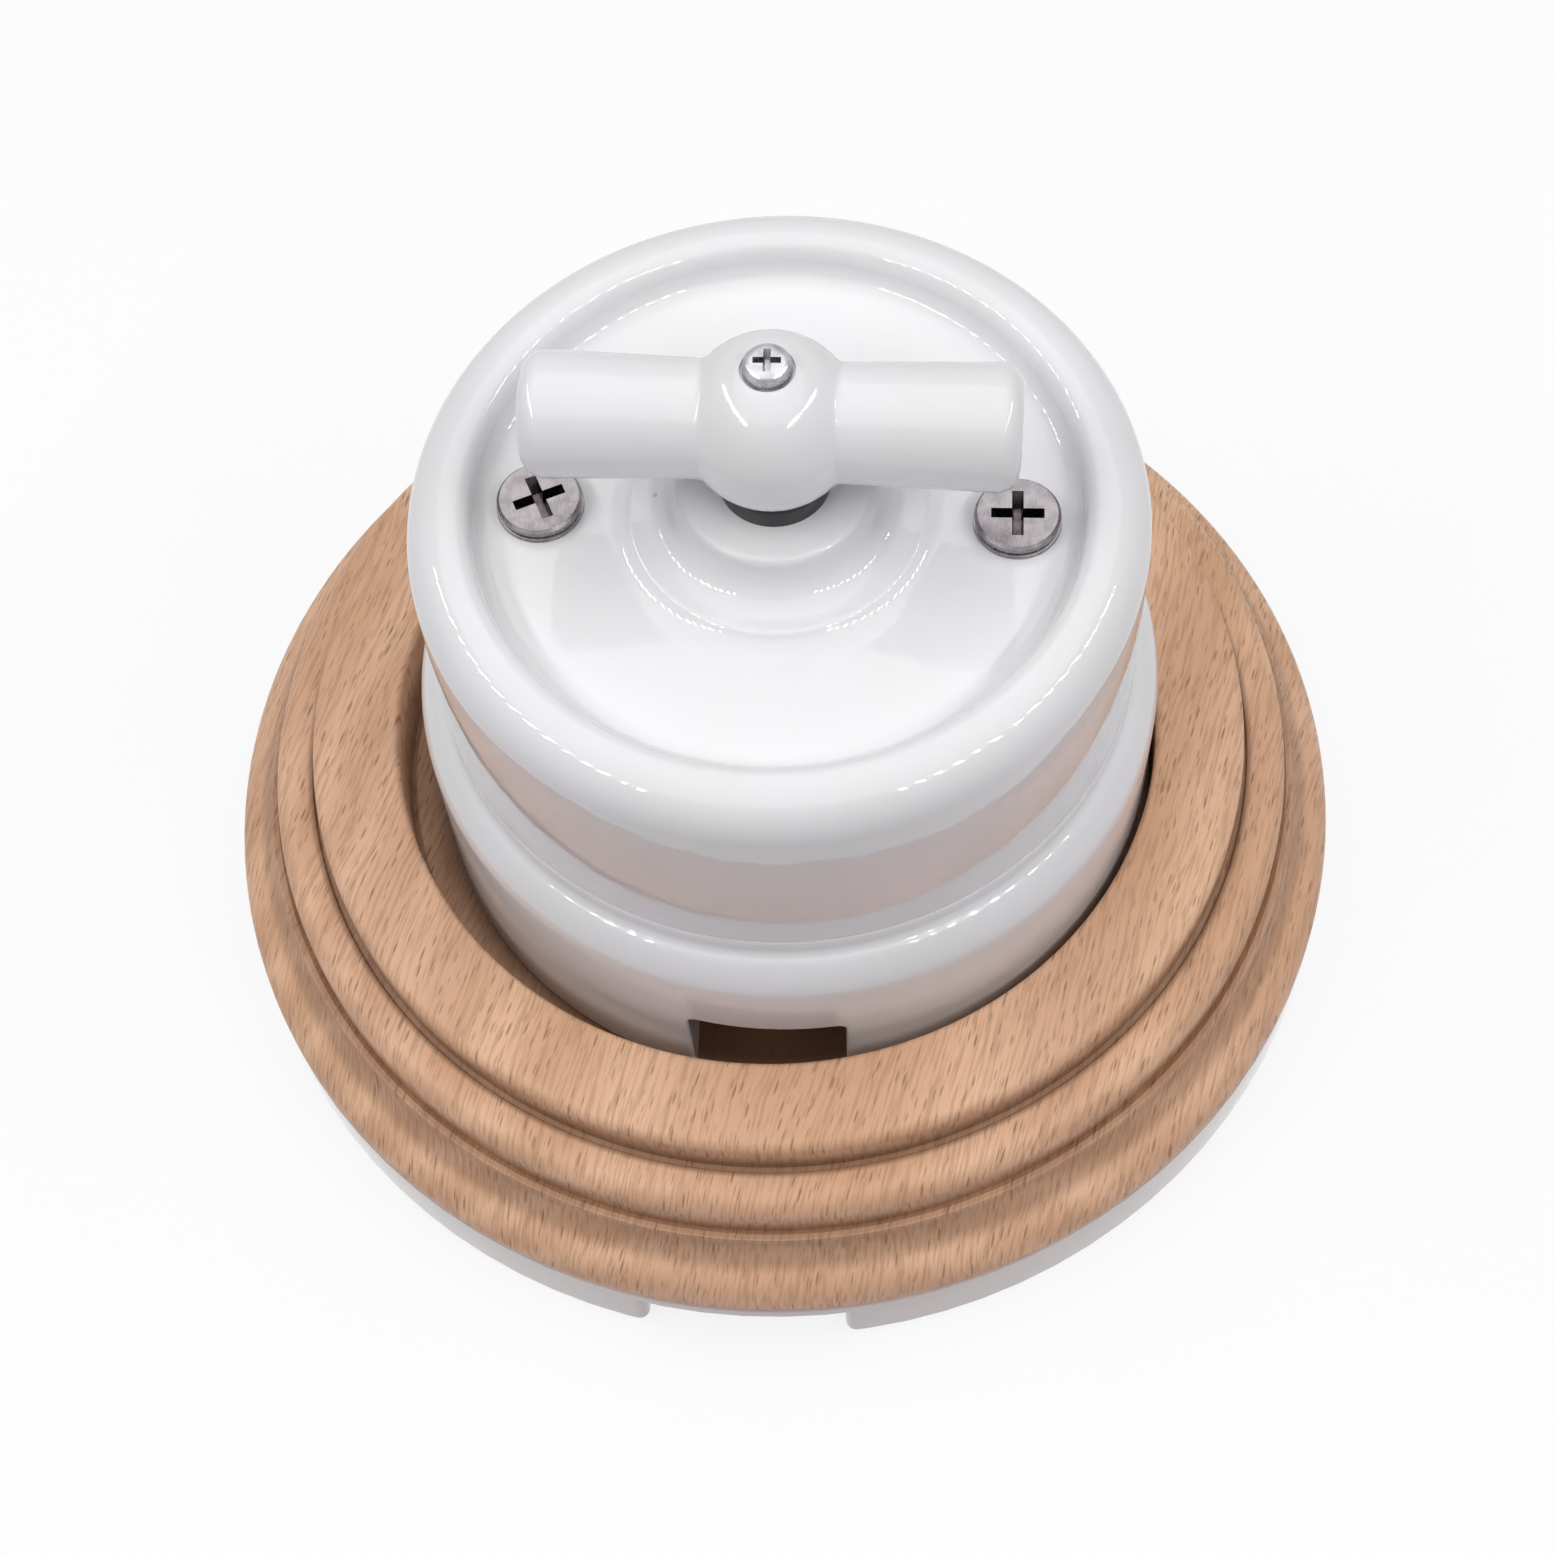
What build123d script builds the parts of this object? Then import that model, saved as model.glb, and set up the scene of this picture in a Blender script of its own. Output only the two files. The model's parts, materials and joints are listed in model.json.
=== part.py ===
from build123d import *
import math
import os

# Rotary light switch of glazed porcelain on a turned wooden plinth.
# Millimetres. The origin is the centre of the back face that lies on the wall, +Z points out of the wall.
# -Y is the side of the cable notches. The knob's arms and the cover screws lie along X.

# Porcelain cover: it sets the radius of everything round it
cover_radius = 32.5
cover_height = 22.7
cover_wall = 4.0
cover_foot_round = 0.6
rim_round = 4.2
rim_slope_width = 3.5
dish_depth = 3.8
dish_thickness = 4.1
boss_foot_width = 2.8
boss_step_height = 1.2
boss_ring_width = 0.7
boss_slope_width = 3.5
boss_height = 5.3
boss_round = 0.8
boss_pocket_radius = 9.0
boss_thickness = 5.0
cavity_corner_round = 2.5

# Porcelain switch base
base_ledge = 2.6
base_wall = 5.0
cable_room = 11.6
deck_thickness = 5.0
deck_drop = 7.9
base_foot_round = 0.8
neck_height = 1.3
cove_height = 1.0
cove_width = 0.8
shoulder_height = 4.2
lip_height = 1.6
lip_wall = 1.6
lip_clearance = 0.3
base_notch_width = 14.6
base_notch_lintel = 0.2
base_notch_round = 1.0
wire_hole_radius = 3.2
wire_hole_gap = 1.4

# Turned plinth: widths from the recess outwards, drops from the top downwards
recess_clearance = 2.2
recess_depth = 9.1
wood_floor = 7.8
recess_edge_round = 0.6
top_land_width = 7.5
top_shoulder_round = 1.1
top_step_drop = 4.1
groove_sink = 0.4
groove_width = 0.5
middle_land_width = 1.4
middle_round = 2.1
lower_step_drop = 4.5
crest_width = 0.6
ogee_cove_width = 2.3
ogee_belly_width = 1.95
ogee_belly_height = 3.3
under_round_height = 1.1
under_round_width = 0.7
cable_hole_radius = 10.0

# Back plate
plate_hollow = 4.8
plate_web = 3.4
plate_wall = 6.0
plate_edge_round = 1.4
plate_notch_width = 19.0
plate_notch_lintel = 1.2
plate_notch_round = 1.5

# Fixing to the wall
wall_hole_spacing = 50.0
wall_hole_radius = 2.25

# Seat of the switch in the recess: it sits off centre along X
switch_offset = 1.6

# How far the cutters of both cable notches run past their walls
notch_overrun = 6.0

# Wood screws of the plinth and of the switch base
plinth_screw_count = 4
plinth_screw_start = 45.0
plinth_screw_inset = 6.8
plinth_screw_radius = 1.75
plinth_screw_depth = 7.0
plinth_head_radius = 3.5
plinth_head_height = 2.2
base_screw_angle = 30.0
base_screw_radius = 1.9
base_screw_depth = 4.6
base_post_radius = 5.2
base_head_radius = 3.6
base_head_height = 2.6
base_head_slack = 0.5
base_head_margin = 0.1
base_head_sink = 3.2
screw_hole_slack = 0.25
thread_slack = 0.05
screw_head_chamfer = 0.6

# Screws, washers and nuts of the cover
cover_screw_radius = 2.0
cover_head_radius = 3.75
cover_head_height = 1.0
cover_head_chamfer = 0.25
cover_washer_height = 0.5
cover_washer_overhang = 0.1
washer_rim_gap = 0.1
washer_boss_gap = 1.4
cover_nut_width = 7.0
cover_nut_height = 3.2
cover_screw_reach = 1.0
nut_pocket_slack = 0.1

# Bush of the spindle in the cover
bush_flange_radius = 4.85
bush_flange_height = 1.7
bush_flange_round = 0.4
bush_sleeve_wall = 1.25
bush_sleeve_slack = 0.1
bush_nut_width = 11.0
bush_nut_height = 2.0
bush_thread_reach = 0.6

# Spindle and what turns with it
spindle_radius = 2.5
lower_journal_radius = 1.8
running_clearance = 0.05
drive_flat = 1.9
drive_clearance = 0.05
spindle_end_gap = 0.1
rotor_radius = 7.8
rotor_gap = 0.3
bridge_length = 15.0
bridge_width = 3.6
bridge_ring_radius = 4.4
bridge_angle = 51.0
bridge_clearance = 0.02
cam_width = 11.0
cam_height = 4.0
cam_corner_round = 1.2
cam_gap = 0.2
clip_radius = 4.4
clip_height = 0.8
clip_groove_depth = 0.45
clip_mouth = 3.4
clip_gap = 0.1

# Block and cap of the mechanism
cavity_gap = 1.2
cavity_floor = 2.5
bearing_depth = 1.9
block_height = 9.0
block_side = 6.0
block_corner_round = 3.0
cap_height = 3.4
cap_corner_round = 1.5
cap_terminal_gap = 0.3
mechanism_screw_inset = 2.3
mechanism_screw_radius = 1.25
mechanism_screw_reach = 0.8
mechanism_head_radius = 2.25
mechanism_head_height = 1.6
mechanism_nut_width = 5.0
mechanism_nut_height = 2.0

# Terminals
terminal_distance = 6.2
terminal_width = 5.0
terminal_slack = 0.15
terminal_length = 7.0
terminal_height = 7.0
terminal_seat = 3.0
terminal_edge_gap = 0.4
tongue_level = 2.2
tongue_height = 1.2
tongue_length = 3.4
contact_gap = 0.3
wire_bore_radius = 1.5
wire_bore_level = 2.4
terminal_screw_radius = 1.5
terminal_screw_depth = 2.6
terminal_screw_head_radius = 2.2
terminal_screw_head_height = 1.6
terminal_screw_lift = 0.8

# Leaf springs of the cam, in slotted posts on the cap
spring_height = 3.4
spring_thickness = 0.4
spring_gap = 0.1
spring_end_gap = 0.2
post_inset = 3.2
post_width = 3.0
post_depth = 3.2
post_slack = 0.05

# Porcelain knob
knob_gap = 0.4
hub_radius = 7.5
hub_rim = 0.3
arm_lift = 6.4
arm_length = 41.5
arm_root_radius = 4.85
arm_end_radius = 5.35
arm_end_round = 2.0
arm_root_fillet = 1.0
knob_web = 4.2

# Screw of the knob
knob_screw_radius = 1.25
knob_screw_length = 10.0
knob_screw_end_room = 1.5
knob_head_radius = 2.05
knob_head_height = 1.6
knob_head_sink = 0.4
knob_head_slack = 0.25
knob_head_chamfer = 0.5

# Radii that follow from the above
cover_inner_radius = cover_radius - cover_wall
crest_radius = cover_radius - rim_round
dish_radius = crest_radius - rim_slope_width
cover_washer_radius = cover_head_radius + cover_washer_overhang
cover_screw_distance = dish_radius - washer_rim_gap - cover_washer_radius
boss_foot_radius = cover_screw_distance - cover_washer_radius - washer_boss_gap
base_radius = cover_radius + base_ledge
pocket_radius = cover_inner_radius - lip_clearance - lip_wall
recess_radius = base_radius + recess_clearance
top_land_radius = recess_radius + top_land_width
upper_groove_radius = top_land_radius + top_shoulder_round
middle_land_radius = upper_groove_radius + 2 * groove_width + middle_land_width
lower_groove_radius = middle_land_radius + middle_round
ogee_crest_radius = lower_groove_radius + groove_width + crest_width
ogee_foot_radius = ogee_crest_radius + ogee_cove_width
wood_radius = ogee_foot_radius + ogee_belly_width
plate_radius = wood_radius
plinth_screw_circle = recess_radius + plinth_screw_inset
base_screw_circle = pocket_radius - base_head_radius - base_head_slack - base_head_margin
spindle_bore_radius = spindle_radius + running_clearance
hub_flat_radius = knob_head_radius + knob_head_slack + hub_rim
bush_sleeve_radius = spindle_bore_radius + bush_sleeve_wall
cavity_radius = rotor_radius + cavity_gap
block_width = 2 * (cavity_radius + block_side)
mechanism_screw_distance = cavity_radius + mechanism_screw_inset
post_distance = cavity_radius + post_inset
spring_length = 2 * (post_distance + post_width / 2 - spring_end_gap)
spring_y = cam_width / 2 + spring_gap
tip_inner_x = terminal_distance - terminal_width / 2
terminal_tip_y = math.sqrt((rotor_radius + contact_gap) ** 2 - tip_inner_x ** 2)
terminal_inner_y = terminal_tip_y + tongue_length
terminal_outer_y = terminal_inner_y + terminal_length
block_depth = 2 * (terminal_outer_y + terminal_edge_gap)
cap_depth = 2 * (terminal_inner_y - cap_terminal_gap)
wire_hole_distance = block_depth / 2 + wire_hole_radius + wire_hole_gap

# Levels that follow from the above
plate_height = plate_hollow + plate_web
wood_height = wood_floor + recess_depth
base_height = cable_room + deck_thickness + deck_drop
wood_z = plate_height
floor_z = wood_z + wood_floor
deck_under_z = floor_z + cable_room
deck_top_z = deck_under_z + deck_thickness
seam_z = floor_z + base_height
cover_top_z = seam_z + cover_height
dish_z = cover_top_z - dish_depth
ceiling_z = dish_z - dish_thickness
boss_top_z = dish_z + boss_height
boss_under_z = boss_top_z - boss_thickness
bush_top_z = boss_top_z + bush_flange_height
block_top_z = deck_top_z + block_height
cavity_floor_z = deck_top_z + cavity_floor
bearing_floor_z = cavity_floor_z - bearing_depth
cap_top_z = block_top_z + cap_height
cam_z = cap_top_z + cam_gap
cam_top_z = cam_z + cam_height
clip_z = cam_top_z + clip_gap
terminal_z = deck_top_z + terminal_seat
terminal_top_z = terminal_z + terminal_height
tongue_z = terminal_z + tongue_level
rotor_z = cavity_floor_z + rotor_gap
rotor_top_z = block_top_z - rotor_gap
hub_z = bush_top_z + knob_gap
arm_z = hub_z + arm_lift
hub_top_z = arm_z + math.sqrt(hub_radius ** 2 - hub_flat_radius ** 2)
knob_seat_z = hub_top_z - knob_head_sink
knob_bore_top_z = knob_seat_z - knob_web
spindle_top_z = knob_bore_top_z - spindle_end_gap
spindle_z = bearing_floor_z + spindle_end_gap
knob_screw_end_z = knob_seat_z - knob_screw_length

UPWARD = (Align.CENTER, Align.CENTER, Align.MIN)


def disc(radius, low, high, x=0.0, y=0.0):
    return Pos(x, y, low) * Cylinder(radius, high - low, align=UPWARD)


def block(width, depth, low, high, x=0.0, y=0.0):
    return Pos(x, y, low) * Box(width, depth, high - low, align=UPWARD)


def rounded_block(width, depth, corner, low, high):
    return Pos(0, 0, low) * extrude(RectangleRounded(width, depth, corner), high - low)


def hexagon(across_flats, low, high, x=0.0, y=0.0):
    # two of the flats lie across X
    outline = RegularPolygon(across_flats / 2, 6, major_radius=False, rotation=30)
    return Pos(x, y, low) * extrude(outline, high - low)


def double_flat(radius, flat, low, high):
    # round bar with two flats across X
    return disc(radius, low, high) & block(2 * flat, 2 * radius, low, high)


def turned(lines, low=0.0):
    # solid of revolution about Z, from a closed outline with X as the radius and Y as the height
    return Pos(0, 0, low) * revolve(Plane.XZ * make_face(Curve() + lines), Axis.Z)


def on_circle(count, radius, start):
    angles = [math.radians(start + 360.0 * index / count) for index in range(count)]
    return [(radius * math.cos(angle), radius * math.sin(angle)) for angle in angles]


def on_x(distance):
    return [(-distance, 0.0), (distance, 0.0)]


plinth_screw_places = on_circle(plinth_screw_count, plinth_screw_circle, plinth_screw_start)
base_screw_places = on_circle(2, base_screw_circle, base_screw_angle)
wall_hole_places = on_x(wall_hole_spacing / 2)
cover_screw_places = on_x(cover_screw_distance)
mechanism_screw_places = on_x(mechanism_screw_distance)
terminal_sides = [(-1, -1), (1, -1), (1, 1), (-1, 1)]


def pan_screw(shank_radius, low, seat, head_radius, head_height, head_chamfer, x=0.0, y=0.0):
    head = disc(head_radius, seat, seat + head_height)
    top_edge = head.edges().filter_by(GeomType.CIRCLE).sort_by(Axis.Z)[-1]
    head = chamfer(top_edge, head_chamfer)
    return Pos(x, y, 0) * (head + disc(shank_radius, low, seat))


def back_plate():
    outer = disc(plate_radius, 0, plate_height)
    back_edge = outer.edges().filter_by(GeomType.CIRCLE).sort_by(Axis.Z)[0]
    body = fillet(back_edge, plate_edge_round)
    body -= disc(plate_radius - plate_wall, 0, plate_hollow)
    body -= disc(cable_hole_radius, 0, plate_height)
    notch_y = -plate_radius + plate_wall / 2
    notch_depth = plate_wall + 2 * notch_overrun
    body -= block(plate_notch_width, notch_depth, 0, plate_height - plate_notch_lintel, 0, notch_y)
    # the feet of the notch are the only straight edges on the back face
    feet = body.edges().filter_by(GeomType.LINE).group_by(Axis.Z)[0]
    body = fillet(feet, plate_notch_round)
    for x, y in wall_hole_places:
        body -= disc(wall_hole_radius, 0, plate_height, x, y)
    for x, y in plinth_screw_places:
        body -= disc(plinth_screw_radius + screw_hole_slack, 0, plate_height, x, y)
    return body


def wood_outline():
    # half section of the plinth, from the underside round the recess and down the turned steps
    recess_top = wood_height - recess_edge_round
    shoulder_foot = wood_height - top_shoulder_round
    middle_step = wood_height - top_step_drop
    middle_foot = middle_step - middle_round
    upper_groove = middle_step - groove_sink
    lower_step = middle_step - lower_step_drop
    lower_groove = lower_step - groove_sink
    ogee_foot = under_round_height + ogee_belly_height
    under_radius = wood_radius - under_round_width
    land_start = recess_radius + recess_edge_round
    groove_floor = upper_groove_radius + groove_width
    groove_end = groove_floor + groove_width
    crest_start = lower_groove_radius + groove_width
    inside = Polyline(
        (under_radius, 0),
        (cable_hole_radius, 0),
        (cable_hole_radius, wood_floor),
        (recess_radius, wood_floor),
        (recess_radius, recess_top),
    )
    recess_edge = TangentArc((recess_radius, recess_top), (land_start, wood_height), tangent=(0, 1))
    top_land = Line((land_start, wood_height), (top_land_radius, wood_height))
    shoulder = TangentArc(
        (top_land_radius, wood_height), (upper_groove_radius, shoulder_foot), tangent=(1, 0)
    )
    groove = Polyline(
        (upper_groove_radius, shoulder_foot),
        (upper_groove_radius, upper_groove),
        (groove_floor, upper_groove),
    )
    groove_rise = TangentArc((groove_floor, upper_groove), (groove_end, middle_step), tangent=(0, 1))
    middle_land = Line((groove_end, middle_step), (middle_land_radius, middle_step))
    middle_edge = TangentArc(
        (middle_land_radius, middle_step), (lower_groove_radius, middle_foot), tangent=(1, 0)
    )
    crest = Polyline(
        (lower_groove_radius, middle_foot),
        (lower_groove_radius, lower_groove),
        (crest_start, lower_step),
        (ogee_crest_radius, lower_step),
    )
    cove = TangentArc((ogee_crest_radius, lower_step), (ogee_foot_radius, ogee_foot), tangent=(0, -1))
    belly = TangentArc((ogee_foot_radius, ogee_foot), (wood_radius, under_round_height), tangent=cove % 1)
    under = TangentArc((wood_radius, under_round_height), (under_radius, 0), tangent=(0, -1))
    return [
        inside, recess_edge, top_land, shoulder, groove, groove_rise,
        middle_land, middle_edge, crest, cove, belly, under,
    ]


def wood_base():
    body = turned(wood_outline(), wood_z)
    for x, y in wall_hole_places:
        body -= disc(wall_hole_radius, wood_z, floor_z, x, y)
    for x, y in plinth_screw_places:
        body -= disc(plinth_screw_radius + thread_slack, wood_z, wood_z + plinth_screw_depth, x, y)
    pilot_low = floor_z - base_screw_depth
    for x, y in base_screw_places:
        body -= disc(base_screw_radius + thread_slack, pilot_low, floor_z, x + switch_offset, y)
    return body


def plinth_screws():
    seat = plate_hollow
    screws = []
    for x, y in plinth_screw_places:
        upside = pan_screw(
            plinth_screw_radius, -plate_web - plinth_screw_depth, 0,
            plinth_head_radius, plinth_head_height, screw_head_chamfer,
        )
        screws.append(Pos(x, y, seat) * Rot(180, 0, 0) * upside)
    return screws


def base_outline():
    # half section of the switch base as a solid disc, up to the seam under the cover
    seam = base_height
    neck_foot = seam - neck_height
    shoulder_top = neck_foot - cove_height
    shoulder_foot = shoulder_top - shoulder_height
    shoulder_radius = cover_radius + cove_width
    foot_radius = base_radius - base_foot_round
    underside = Polyline((cover_radius, seam), (0, seam), (0, 0), (foot_radius, 0))
    foot = TangentArc((foot_radius, 0), (base_radius, base_foot_round), tangent=(1, 0))
    side = Line((base_radius, base_foot_round), (base_radius, shoulder_foot))
    shoulder = TangentArc((base_radius, shoulder_foot), (shoulder_radius, shoulder_top), tangent=(0, 1))
    cove = TangentArc(
        (cover_radius, neck_foot), (shoulder_radius, shoulder_top), tangent=(0, -1)
    )
    neck = Line((cover_radius, neck_foot), (cover_radius, seam))
    return [underside, foot, side, shoulder, cove, neck]


def cable_notch():
    notch_y = -base_radius + base_wall / 2
    notch_depth = base_wall + 2 * notch_overrun
    cut = block(base_notch_width, notch_depth, floor_z, deck_under_z - base_notch_lintel, 0, notch_y)
    upper = cut.edges().filter_by(Axis.Y).group_by(Axis.Z)[-1]
    return fillet(upper, base_notch_round)


def bolt_hole(screw_radius, nut_width, nut_height, x, y):
    # hole through the deck with a pocket for the nut under it
    pocket = hexagon(nut_width + 2 * nut_pocket_slack, deck_under_z, deck_under_z + nut_height, x, y)
    return disc(screw_radius + screw_hole_slack, deck_under_z, deck_top_z, x, y) + pocket


def switch_base():
    body = turned(base_outline(), floor_z)
    body += disc(pocket_radius + lip_wall, seam_z, seam_z + lip_height)
    body -= disc(pocket_radius, deck_top_z, seam_z + lip_height)
    body -= disc(base_radius - base_wall, floor_z, deck_under_z)
    for x, y in base_screw_places:
        body += disc(base_post_radius, floor_z, deck_under_z, x, y)
        body -= disc(base_screw_radius + screw_hole_slack, floor_z, deck_top_z, x, y)
        body -= disc(base_head_radius + base_head_slack, deck_top_z - base_head_sink, deck_top_z, x, y)
    for x, y in cover_screw_places:
        body -= bolt_hole(cover_screw_radius, cover_nut_width, cover_nut_height, x, y)
    for x, y in mechanism_screw_places:
        body -= bolt_hole(mechanism_screw_radius, mechanism_nut_width, mechanism_nut_height, x, y)
    for side in (-1, 1):
        body -= disc(wire_hole_radius, deck_under_z, deck_top_z, 0, side * wire_hole_distance)
    return body - cable_notch()


def base_screws():
    seat = deck_top_z - base_head_sink
    low = floor_z - base_screw_depth
    return [
        pan_screw(base_screw_radius, low, seat, base_head_radius, base_head_height, screw_head_chamfer, x, y)
        for x, y in base_screw_places
    ]


def cover_outline():
    # half section of the cover as a solid: wall, rolled rim, dish and stepped boss
    top = cover_height
    dish = top - dish_depth
    boss_top = dish + boss_height
    boss_step = dish + boss_step_height
    foot_radius = cover_radius - cover_foot_round
    slope_middle = (crest_radius - rim_slope_width / 2, top - dish_depth / 2)
    boss_step_radius = boss_foot_radius - boss_foot_width
    ring_radius = boss_step_radius - boss_ring_width
    crown_radius = ring_radius - boss_slope_width
    underside = Polyline((0, boss_top), (0, 0), (foot_radius, 0))
    foot = TangentArc((foot_radius, 0), (cover_radius, cover_foot_round), tangent=(1, 0))
    wall = Line((cover_radius, cover_foot_round), (cover_radius, top - rim_round))
    rim = TangentArc((cover_radius, top - rim_round), (crest_radius, top), tangent=(0, 1))
    rim_fall = TangentArc((crest_radius, top), slope_middle, tangent=(-1, 0))
    dish_rise = TangentArc(slope_middle, (dish_radius, dish), tangent=rim_fall % 1)
    floor = Line((dish_radius, dish), (boss_foot_radius, dish))
    boss_foot = TangentArc((boss_foot_radius, dish), (boss_step_radius, boss_step), tangent=(-1, 0))
    boss_ring = Line((boss_step_radius, boss_step), (ring_radius, boss_step))
    crown_foot = boss_top - boss_round
    boss_slope = TangentArc((ring_radius, boss_step), (crown_radius, crown_foot), tangent=(-1, 0))
    crown = TangentArc((crown_radius - boss_round, boss_top), (crown_radius, crown_foot), tangent=(1, 0))
    boss_face = Line((crown_radius - boss_round, boss_top), (0, boss_top))
    return [
        underside, foot, wall, rim, rim_fall, dish_rise,
        floor, boss_foot, boss_ring, boss_slope, crown, boss_face,
    ]


def cover():
    cavity = disc(cover_inner_radius, seam_z, ceiling_z)
    ceiling_edge = cavity.edges().filter_by(GeomType.CIRCLE).sort_by(Axis.Z)[-1]
    cavity = fillet(ceiling_edge, cavity_corner_round)
    body = turned(cover_outline(), seam_z) - cavity
    body -= disc(boss_pocket_radius, ceiling_z, boss_under_z)
    body -= disc(bush_sleeve_radius + bush_sleeve_slack, boss_under_z, boss_top_z)
    for x, y in cover_screw_places:
        body -= disc(cover_screw_radius + screw_hole_slack, ceiling_z, dish_z, x, y)
    return body


def cover_screws():
    seat = dish_z + cover_washer_height
    screws = []
    for x, y in cover_screw_places:
        head = disc(cover_head_radius, seat, seat + cover_head_height)
        top_edge = head.edges().filter_by(GeomType.CIRCLE).sort_by(Axis.Z)[-1]
        head = chamfer(top_edge, cover_head_chamfer)
        shank = disc(cover_screw_radius, deck_under_z - cover_screw_reach, seat)
        screws.append(Pos(x, y, 0) * (head + shank))
    return screws


def cover_washers():
    hole = cover_screw_radius + screw_hole_slack
    top = dish_z + cover_washer_height
    return [
        disc(cover_washer_radius, dish_z, top, x, y) - disc(hole, dish_z, top, x, y)
        for x, y in cover_screw_places
    ]


def nuts(places, across_flats, height, thread_radius):
    top = deck_under_z + height
    hole = thread_radius + thread_slack
    return [
        hexagon(across_flats, deck_under_z, top, x, y) - disc(hole, deck_under_z, top, x, y)
        for x, y in places
    ]


def bush():
    flange = disc(bush_flange_radius, boss_top_z, bush_top_z)
    top_edge = flange.edges().filter_by(GeomType.CIRCLE).sort_by(Axis.Z)[-1]
    flange = fillet(top_edge, bush_flange_round)
    low = boss_under_z - bush_nut_height - bush_thread_reach
    return flange + disc(bush_sleeve_radius, low, boss_top_z) - disc(spindle_bore_radius, low, bush_top_z)


def bush_nut():
    low = boss_under_z - bush_nut_height
    hole = bush_sleeve_radius + thread_slack
    return hexagon(bush_nut_width, low, boss_under_z) - disc(hole, low, boss_under_z)


def mechanism_body():
    body = rounded_block(block_width, block_depth, block_corner_round, deck_top_z, block_top_z)
    body -= disc(cavity_radius, cavity_floor_z, block_top_z)
    body -= disc(lower_journal_radius + running_clearance, bearing_floor_z, cavity_floor_z)
    channel_width = terminal_width + 2 * terminal_slack
    pocket_depth = block_depth / 2 - terminal_inner_y + terminal_slack
    for side_x, side_y in terminal_sides:
        x = side_x * terminal_distance
        channel_y = side_y * block_depth / 4
        pocket_y = side_y * (block_depth - pocket_depth) / 2
        body -= block(channel_width, block_depth / 2, tongue_z, block_top_z, x, channel_y)
        body -= block(channel_width, pocket_depth, terminal_z, block_top_z, x, pocket_y)
    for x, y in mechanism_screw_places:
        body -= disc(mechanism_screw_radius + screw_hole_slack, deck_top_z, block_top_z, x, y)
    return body


def mechanism_cap():
    body = rounded_block(block_width, cap_depth, cap_corner_round, block_top_z, cap_top_z)
    slot_width = spring_thickness + 2 * post_slack
    slot_y = spring_y + spring_thickness / 2
    for side_x, side_y in terminal_sides:
        body += block(post_width, post_depth, cap_top_z, cam_top_z, side_x * post_distance, side_y * slot_y)
        body -= block(post_width, slot_width, cam_z, cam_top_z, side_x * post_distance, side_y * slot_y)
    for x, y in mechanism_screw_places:
        body -= disc(mechanism_screw_radius + screw_hole_slack, block_top_z, cap_top_z, x, y)
    return body - disc(spindle_bore_radius, block_top_z, cap_top_z)


def mechanism_screws():
    low = deck_under_z - mechanism_screw_reach
    return [
        pan_screw(
            mechanism_screw_radius, low, cap_top_z, mechanism_head_radius, mechanism_head_height,
            screw_head_chamfer, x, y,
        )
        for x, y in mechanism_screw_places
    ]


def terminal(side_x, side_y):
    x = side_x * terminal_distance
    middle_y = side_y * (terminal_inner_y + terminal_length / 2)
    tongue_y = side_y * (terminal_tip_y + tongue_length / 2)
    body = block(terminal_width, terminal_length, terminal_z, terminal_top_z, x, middle_y)
    body += block(terminal_width, tongue_length, tongue_z, tongue_z + tongue_height, x, tongue_y)
    wire_bore = Rot(90, 0, 0) * Cylinder(wire_bore_radius, terminal_length)
    body -= Pos(x, middle_y, terminal_z + wire_bore_level) * wire_bore
    hole_low = terminal_z + wire_bore_level
    return body - disc(terminal_screw_radius + thread_slack, hole_low, terminal_top_z, x, middle_y)


def terminal_screws():
    seat = terminal_top_z + terminal_screw_lift
    low = terminal_top_z - terminal_screw_depth
    return [
        pan_screw(
            terminal_screw_radius, low, seat, terminal_screw_head_radius, terminal_screw_head_height,
            screw_head_chamfer, side_x * terminal_distance, side_y * (terminal_inner_y + terminal_length / 2),
        )
        for side_x, side_y in terminal_sides
    ]


def detent_spring(side_y):
    y = side_y * (spring_y + spring_thickness / 2)
    return block(spring_length, spring_thickness, cam_z, cam_z + spring_height, 0, y)


def spindle():
    body = disc(lower_journal_radius, spindle_z, rotor_z)
    body += double_flat(spindle_radius, drive_flat, rotor_z, rotor_top_z)
    body += disc(spindle_radius, rotor_top_z, cam_z)
    body += double_flat(spindle_radius, drive_flat, cam_z, spindle_top_z)
    groove_radius = spindle_radius - clip_groove_depth
    groove_top = clip_z + clip_height + clip_gap
    body -= disc(spindle_radius, cam_top_z, groove_top) - disc(groove_radius, cam_top_z, groove_top)
    thread_end = knob_screw_end_z - knob_screw_end_room
    return body - disc(knob_screw_radius + thread_slack, thread_end, spindle_top_z)


def drive_bore(low, high):
    return double_flat(spindle_radius + drive_clearance, drive_flat + drive_clearance, low, high)


def bridge_shape(spare):
    low = tongue_z - spare
    high = tongue_z + tongue_height + spare
    bar = block(bridge_length + 2 * spare, bridge_width + 2 * spare, low, high)
    return Rot(0, 0, bridge_angle) * (bar + disc(bridge_ring_radius + spare, low, high))


def rotor():
    body = disc(rotor_radius, rotor_z, rotor_top_z) - bridge_shape(bridge_clearance)
    return body - drive_bore(rotor_z, rotor_top_z)


def contact_bridge():
    return bridge_shape(0.0) - drive_bore(tongue_z, tongue_z + tongue_height)


def detent_cam():
    body = rounded_block(cam_width, cam_width, cam_corner_round, cam_z, cam_top_z)
    return body - drive_bore(cam_z, cam_top_z)


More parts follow.
